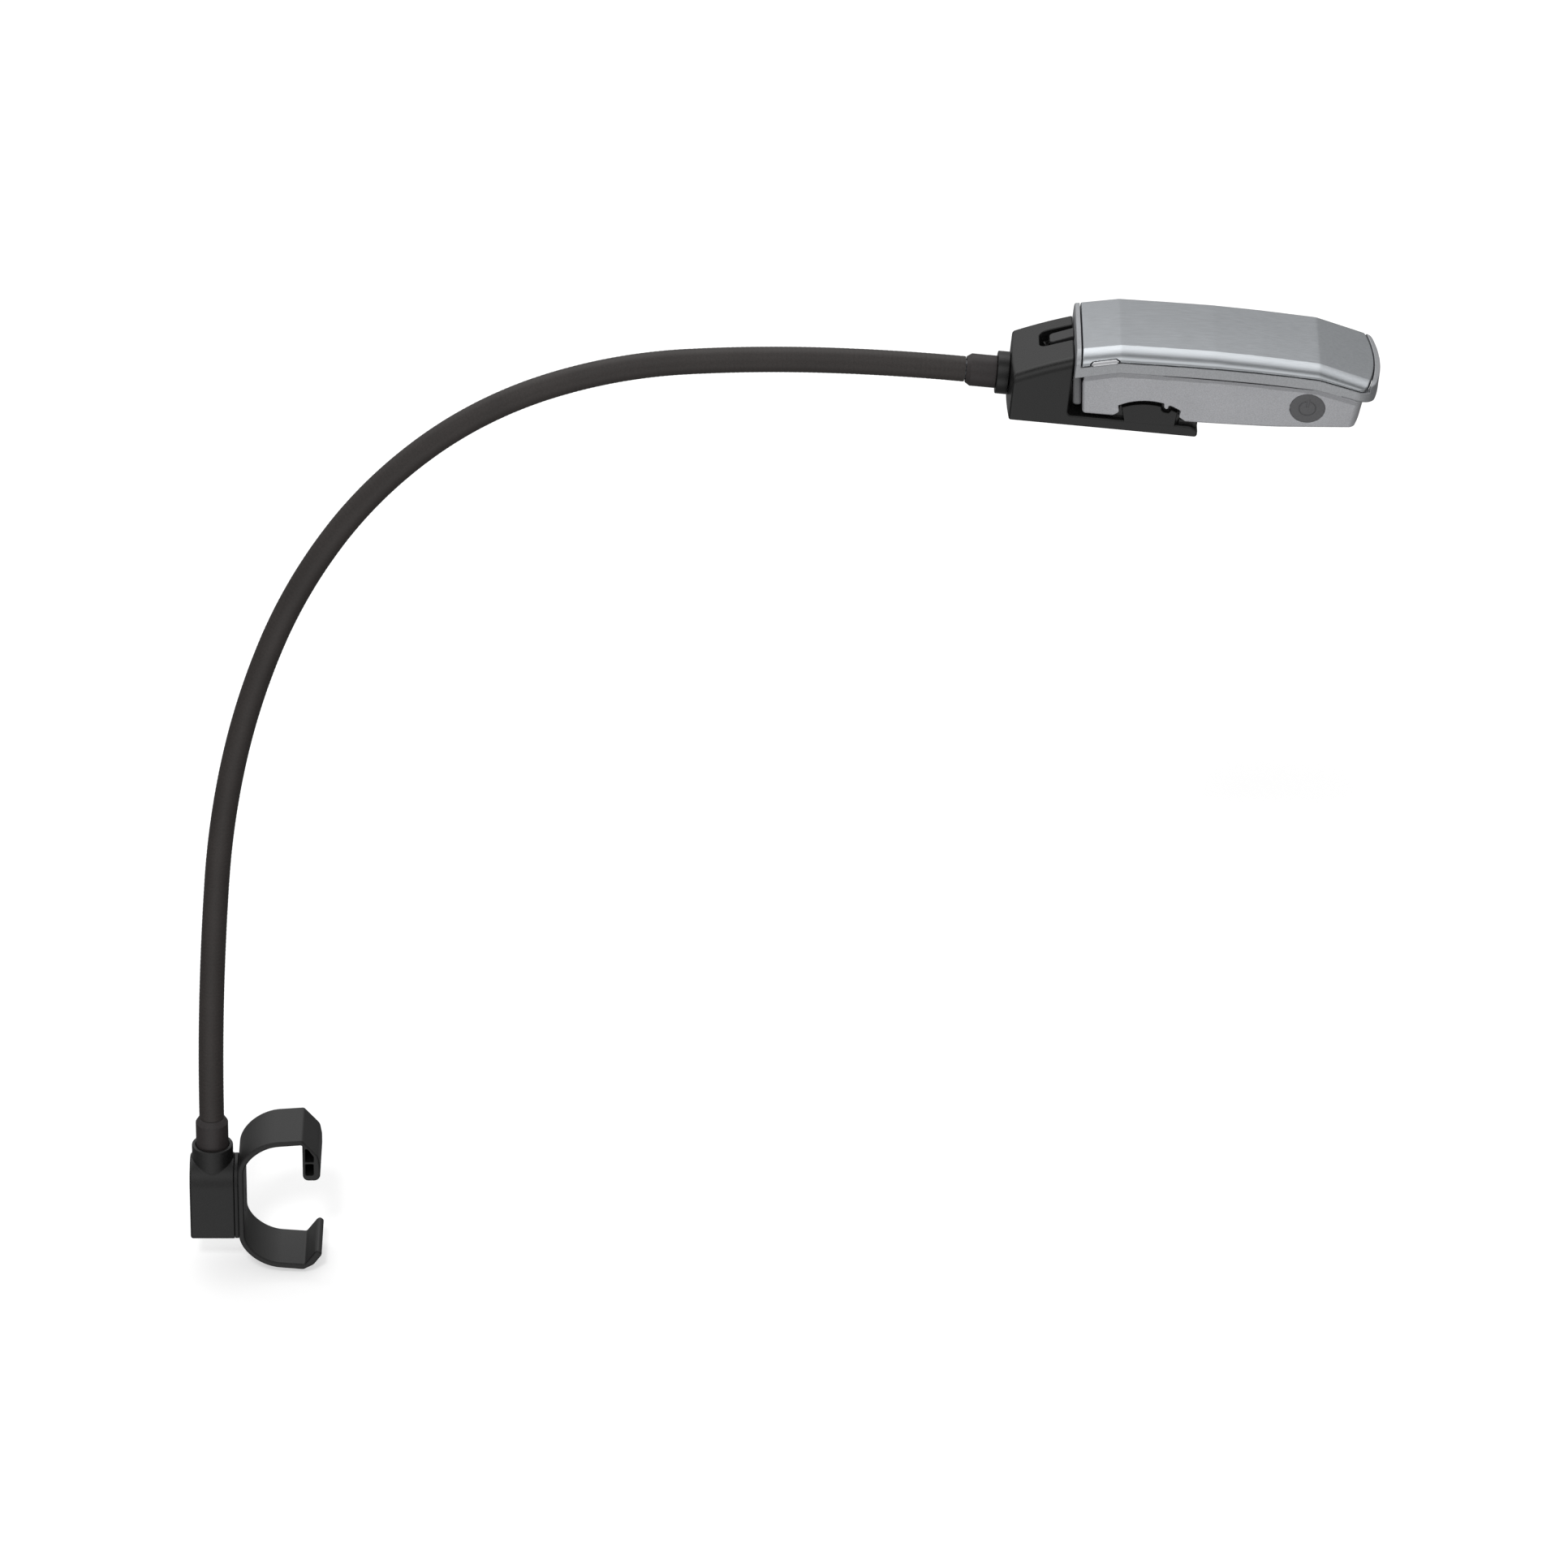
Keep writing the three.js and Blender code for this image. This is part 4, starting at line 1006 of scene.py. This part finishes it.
def housing_field():
    wall = 1.6
    arch = outline(filleted(ARCH))
    outer_plan = plan_field(35.8, 124.9, 19.9, 1.5, left_corner=1.1)
    inner_plan = plan_field(35.8 + wall, 124.6 - wall, 19.9 - wall, 1.6, left_corner=0.6)
    draft = math.cos(math.atan(0.2))

    def inset_at(x, z):
        """How far the side lies inside its top edge at a height."""
        top, bottom = housing_top(x), along(BOTTOM, x, 3)
        band = top - BAND
        slope = (18.5 - 16.2) / (band - bottom)
        lower = 16.2 + slope * (z - bottom)
        upper = 18.5 + (z - band) * 1.4 / BAND
        return 19.9 - np.maximum(lower, upper), bottom, top

    def shell(x, y, z, plan):
        inset, bottom, top = inset_at(x, z)
        lean = np.where(x > 80, (20 - z) / 20 * 1.6, (z - 3) * 0.11)
        return plan(x + lean, np.abs(y) + inset) * draft, bottom, top

    def field(x, y, z):
        side, bottom, top = shell(x, y, z, outer_plan)
        body = both(side, bottom - z, 0.7)
        body = both(body, z - top, 0.2)
        inside, _, _ = shell(x, y, z, inner_plan)
        body = less(body, both(inside, bottom + wall - z, 0.6), 0.2)
        notch = np.maximum(arch(x, z), CHEEK_IN - 0.9 - np.abs(y))
        body = less(body, notch, 0.12)
        window = block(x, y, z, (98, -8, -9), (118, 8, 6), 0.8)
        body = less(body, window, 0.25)
        for boss_x, boss_y, high in BOSSES:
            away = np.hypot(x - boss_x, y - boss_y)
            floor = along(BOTTOM, boss_x, 3)
            body = either(body, both(away - 2.6, slab(z, floor + 0.5, high), 0.2), 0.3)
            body = less(body, np.maximum(away - 1.4, floor + 1.6 - z), 0.1)
        bx, by, bz = on_button(x, y, z)
        return less(body, np.maximum(np.hypot(bx, bz) - 5.46, slab(by, -3, 4)), 0.1)

    return field


BUTTON = (105.4, 6.1)
DRAFT = math.radians(9.4)


def on_button(x, y, z):
    """Coordinates with y into the button's face, from its middle."""
    rise = (BUTTON[1] - along(BOTTOM, BUTTON[0], 0.01)) * math.tan(DRAFT)
    dy, dz = y + 16.2 + rise, z - BUTTON[1]
    c, s = math.cos(DRAFT), math.sin(DRAFT)
    return x - BUTTON[0], dy * c + dz * s, dz * c - dy * s


housing = moulded(
    "housing_shell", housing_field(), (35.3, -20.4, -4.2), (125.2, 20.4, 13.6), MATTE_SILVER, HEAD
)
shown(housing, "lamp_head", "lower_housing", "lower_housing")


def pad_field(x, y, z):
    lean = (z - 3) * 0.11
    side = both(slab(x + lean, 32.85, 35.45), slab(z, -1.15, 8.9), 0.9)
    return both(side, np.abs(y) - 15.5, 0.9)


# The seat strip is coloured darker than the housing: painted shade.
pad = moulded("seat_strip", pad_field, (31.9, -15.9, -1.6), (36.2, 15.9, 9.3), PAD_SHADED_SILVER, HEAD, 0.28, 0.3)
shown(pad, "lamp_head", "seat_pad", "seat_pad")


def button_field(x, y, z):
    bx, by, bz = on_button(x, y, z)
    away = np.hypot(bx, bz)
    body = both(away - 5.4, slab(by, 0.05 * (away / 5.35) ** 2, 2.4), 0.12)
    ring = np.abs(away - 2.6) - 0.17
    opening = np.maximum(np.abs(bx) - 0.75, -bz)
    ring = np.maximum(ring, -opening)
    rod = np.maximum(np.abs(bx) - 0.4, np.abs(bz - 1.9) - 1.5)
    body = less(body, np.maximum(ring, by - 0.22), 0.06)
    return less(body, np.maximum(rod, by - 0.16), 0.08)


button = moulded(
    "button_cap", button_field, (99.8, -19.6, 0.4), (111, -14.4, 11.8), BUTTON_GREY, HEAD, 0.12, 0.5
)
shown(button, "power_button", "power_button", "power_button")

# ---- What is inside ---------------------------------------------------------------------------------

CARRIED = {
    "battery_tray": TRAY_BLACK,
    "contact_strip_left": STEEL,
    "contact_strip_right": STEEL,
    "circuit_board": GREEN,
    "tact_switch": TRAY_BLACK,
    "reflector": MIRROR,
    "lens": LENS,
    "tray_screw_1": STEEL,
    "tray_screw_2": STEEL,
    "board_screw_1": STEEL,
    "board_screw_2": STEEL,
    "swivel_screw": DARK_STEEL,
    "swivel_nut": STEEL,
    "neck_set_screw": DARK_STEEL,
    "neck_lock_screw": STEEL,
    # The spring's near black is painted shade for the slot.
    "release_spring": SPRING_PAINTED_SHADE,
    "led_1": PHOSPHOR,
    "led_2": PHOSPHOR,
    "led_3": PHOSPHOR,
    "battery_1": CELL_WRAP,
    "battery_2": CELL_WRAP,
    "battery_3": CELL_WRAP,
    "battery_spring_1": STEEL,
    "battery_spring_2": STEEL,
    "battery_spring_3": STEEL,
}
for node, dressed in CARRIED.items():
    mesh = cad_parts[node].data
    mesh.materials.clear()
    mesh.materials.append(dressed)

# ---- Floor, light and camera ------------------------------------------------------------------------

FLOOR_Z_M = -0.0262
SPREAD = 6.0
floor_mesh = mesh_of(
    "floor",
    [(x * SPREAD, y * SPREAD, FLOOR_Z_M) for x, y in ((-1, -1), (1, -1), (1, 1), (-1, 1))],
    [(0, 1, 2, 3)],
)
floor_white = bpy.data.materials.new("floor_white")
floor_white.use_nodes = True
floor_shader = floor_white.node_tree.nodes["Principled BSDF"]
floor_shader.inputs["Base Color"].default_value = (0.6, 0.6, 0.6, 1)
floor_shader.inputs["Roughness"].default_value = 0.9
floor_shader.inputs["Emission Color"].default_value = (1, 1, 1, 1)
floor_shader.inputs["Emission Strength"].default_value = 0.53
floor = linked("floor", floor_mesh, floor_white)
floor.visible_diffuse = False
floor.visible_glossy = False

# The studio's brightness by the angle in degrees up from straight in front and over to the back, and its
# share of that by how far left or right the light comes from.
OVERHEAD = (
    (-180, 0.2),
    (-90, 0.15),
    (-60, 0.25),
    (-42, 0.6),
    (-28, 0.88),
    (-12, 0.6),
    (0, 0.38),
    (14, 0.42),
    (30, 0.75),
    (46, 1.15),
    (60, 0.7),
    (74, 0.28),
    (84, 0.34),
    (96, 0.85),
    (107, 1.3),
    (118, 1.5),
    (128, 1.4),
    (139, 0.86),
    (151, 0.56),
    (180, 0.3),
)
ACROSS = (
    (-1.0, 0.5),
    (-0.6, 0.75),
    (-0.25, 1.22),
    (0.0, 1.08),
    (0.3, 0.8),
    (0.6, 0.54),
    (1.0, 0.45),
)


def ramp_of(tree, stops):
    """A ramp of grey over the range of its stops."""
    node = tree.nodes.new("ShaderNodeValToRGB")
    span = tree.nodes.new("ShaderNodeMapRange")
    low, high = stops[0][0], stops[-1][0]
    span.inputs["From Min"].default_value = low
    span.inputs["From Max"].default_value = high
    tree.links.new(span.outputs["Result"], node.inputs["Fac"])
    ends = node.color_ramp.elements
    for at, value in stops[1:-1]:
        ends.new((at - low) / (high - low))
    for stop, (at, value) in zip(ends, stops):
        stop.position = (at - low) / (high - low)
        stop.color = (value, value, value, 1)
    return span.inputs["Value"], node.outputs["Color"]


world = bpy.data.worlds.new("studio")
bpy.context.scene.world = world
world.use_nodes = True
sky, wires = world.node_tree.nodes, world.node_tree.links
aim = sky.new("ShaderNodeTexCoord")
split = sky.new("ShaderNodeSeparateXYZ")
wires.new(aim.outputs["Generated"], split.inputs[0])
ahead = sky.new("ShaderNodeMath")
ahead.operation = "MULTIPLY"
ahead.inputs[1].default_value = -1
turn = sky.new("ShaderNodeMath")
turn.operation = "ARCTAN2"
angle = sky.new("ShaderNodeMath")
angle.operation = "DEGREES"
height, brightness = ramp_of(world.node_tree, OVERHEAD)
sideways, share = ramp_of(world.node_tree, ACROSS)
wires.new(split.outputs["Y"], ahead.inputs[0])
wires.new(split.outputs["Z"], turn.inputs[0])
wires.new(ahead.outputs["Value"], turn.inputs[1])
wires.new(turn.outputs["Value"], angle.inputs[0])
wires.new(angle.outputs["Value"], height)
wires.new(split.outputs["X"], sideways)
shade = sky.new("ShaderNodeMath")
shade.operation = "MULTIPLY"
wires.new(brightness, shade.inputs[0])
wires.new(share, shade.inputs[1])
wires.new(shade.outputs[0], sky["Background"].inputs["Color"])
sky["Background"].inputs["Strength"].default_value = 1.0

sun = bpy.data.objects.new("sun", bpy.data.lights.new("sun", "SUN"))
bpy.context.scene.collection.objects.link(sun)
sun.data.energy = 1.1
sun.data.angle = math.radians(9)
# The sun only draws the shadow on the floor.
floor_only = bpy.data.collections.new("floor_only")
floor_only.objects.link(floor)
sun.light_linking.receiver_collection = floor_only
sun.rotation_euler = Vector((0.1, 0.71, -0.7)).to_track_quat("-Z", "Y").to_euler()

camera = bpy.data.objects.new("camera", bpy.data.cameras.new("camera"))
bpy.context.scene.collection.objects.link(camera)
camera.data.angle = math.radians(7.0762)
camera.data.clip_end = 50
camera.location = (0.161531, -3.515268, 2.056272)
camera.rotation_euler = (math.radians(61.5), 0, 0)
bpy.context.scene.camera = camera
bpy.context.scene.view_settings.view_transform = "Standard"
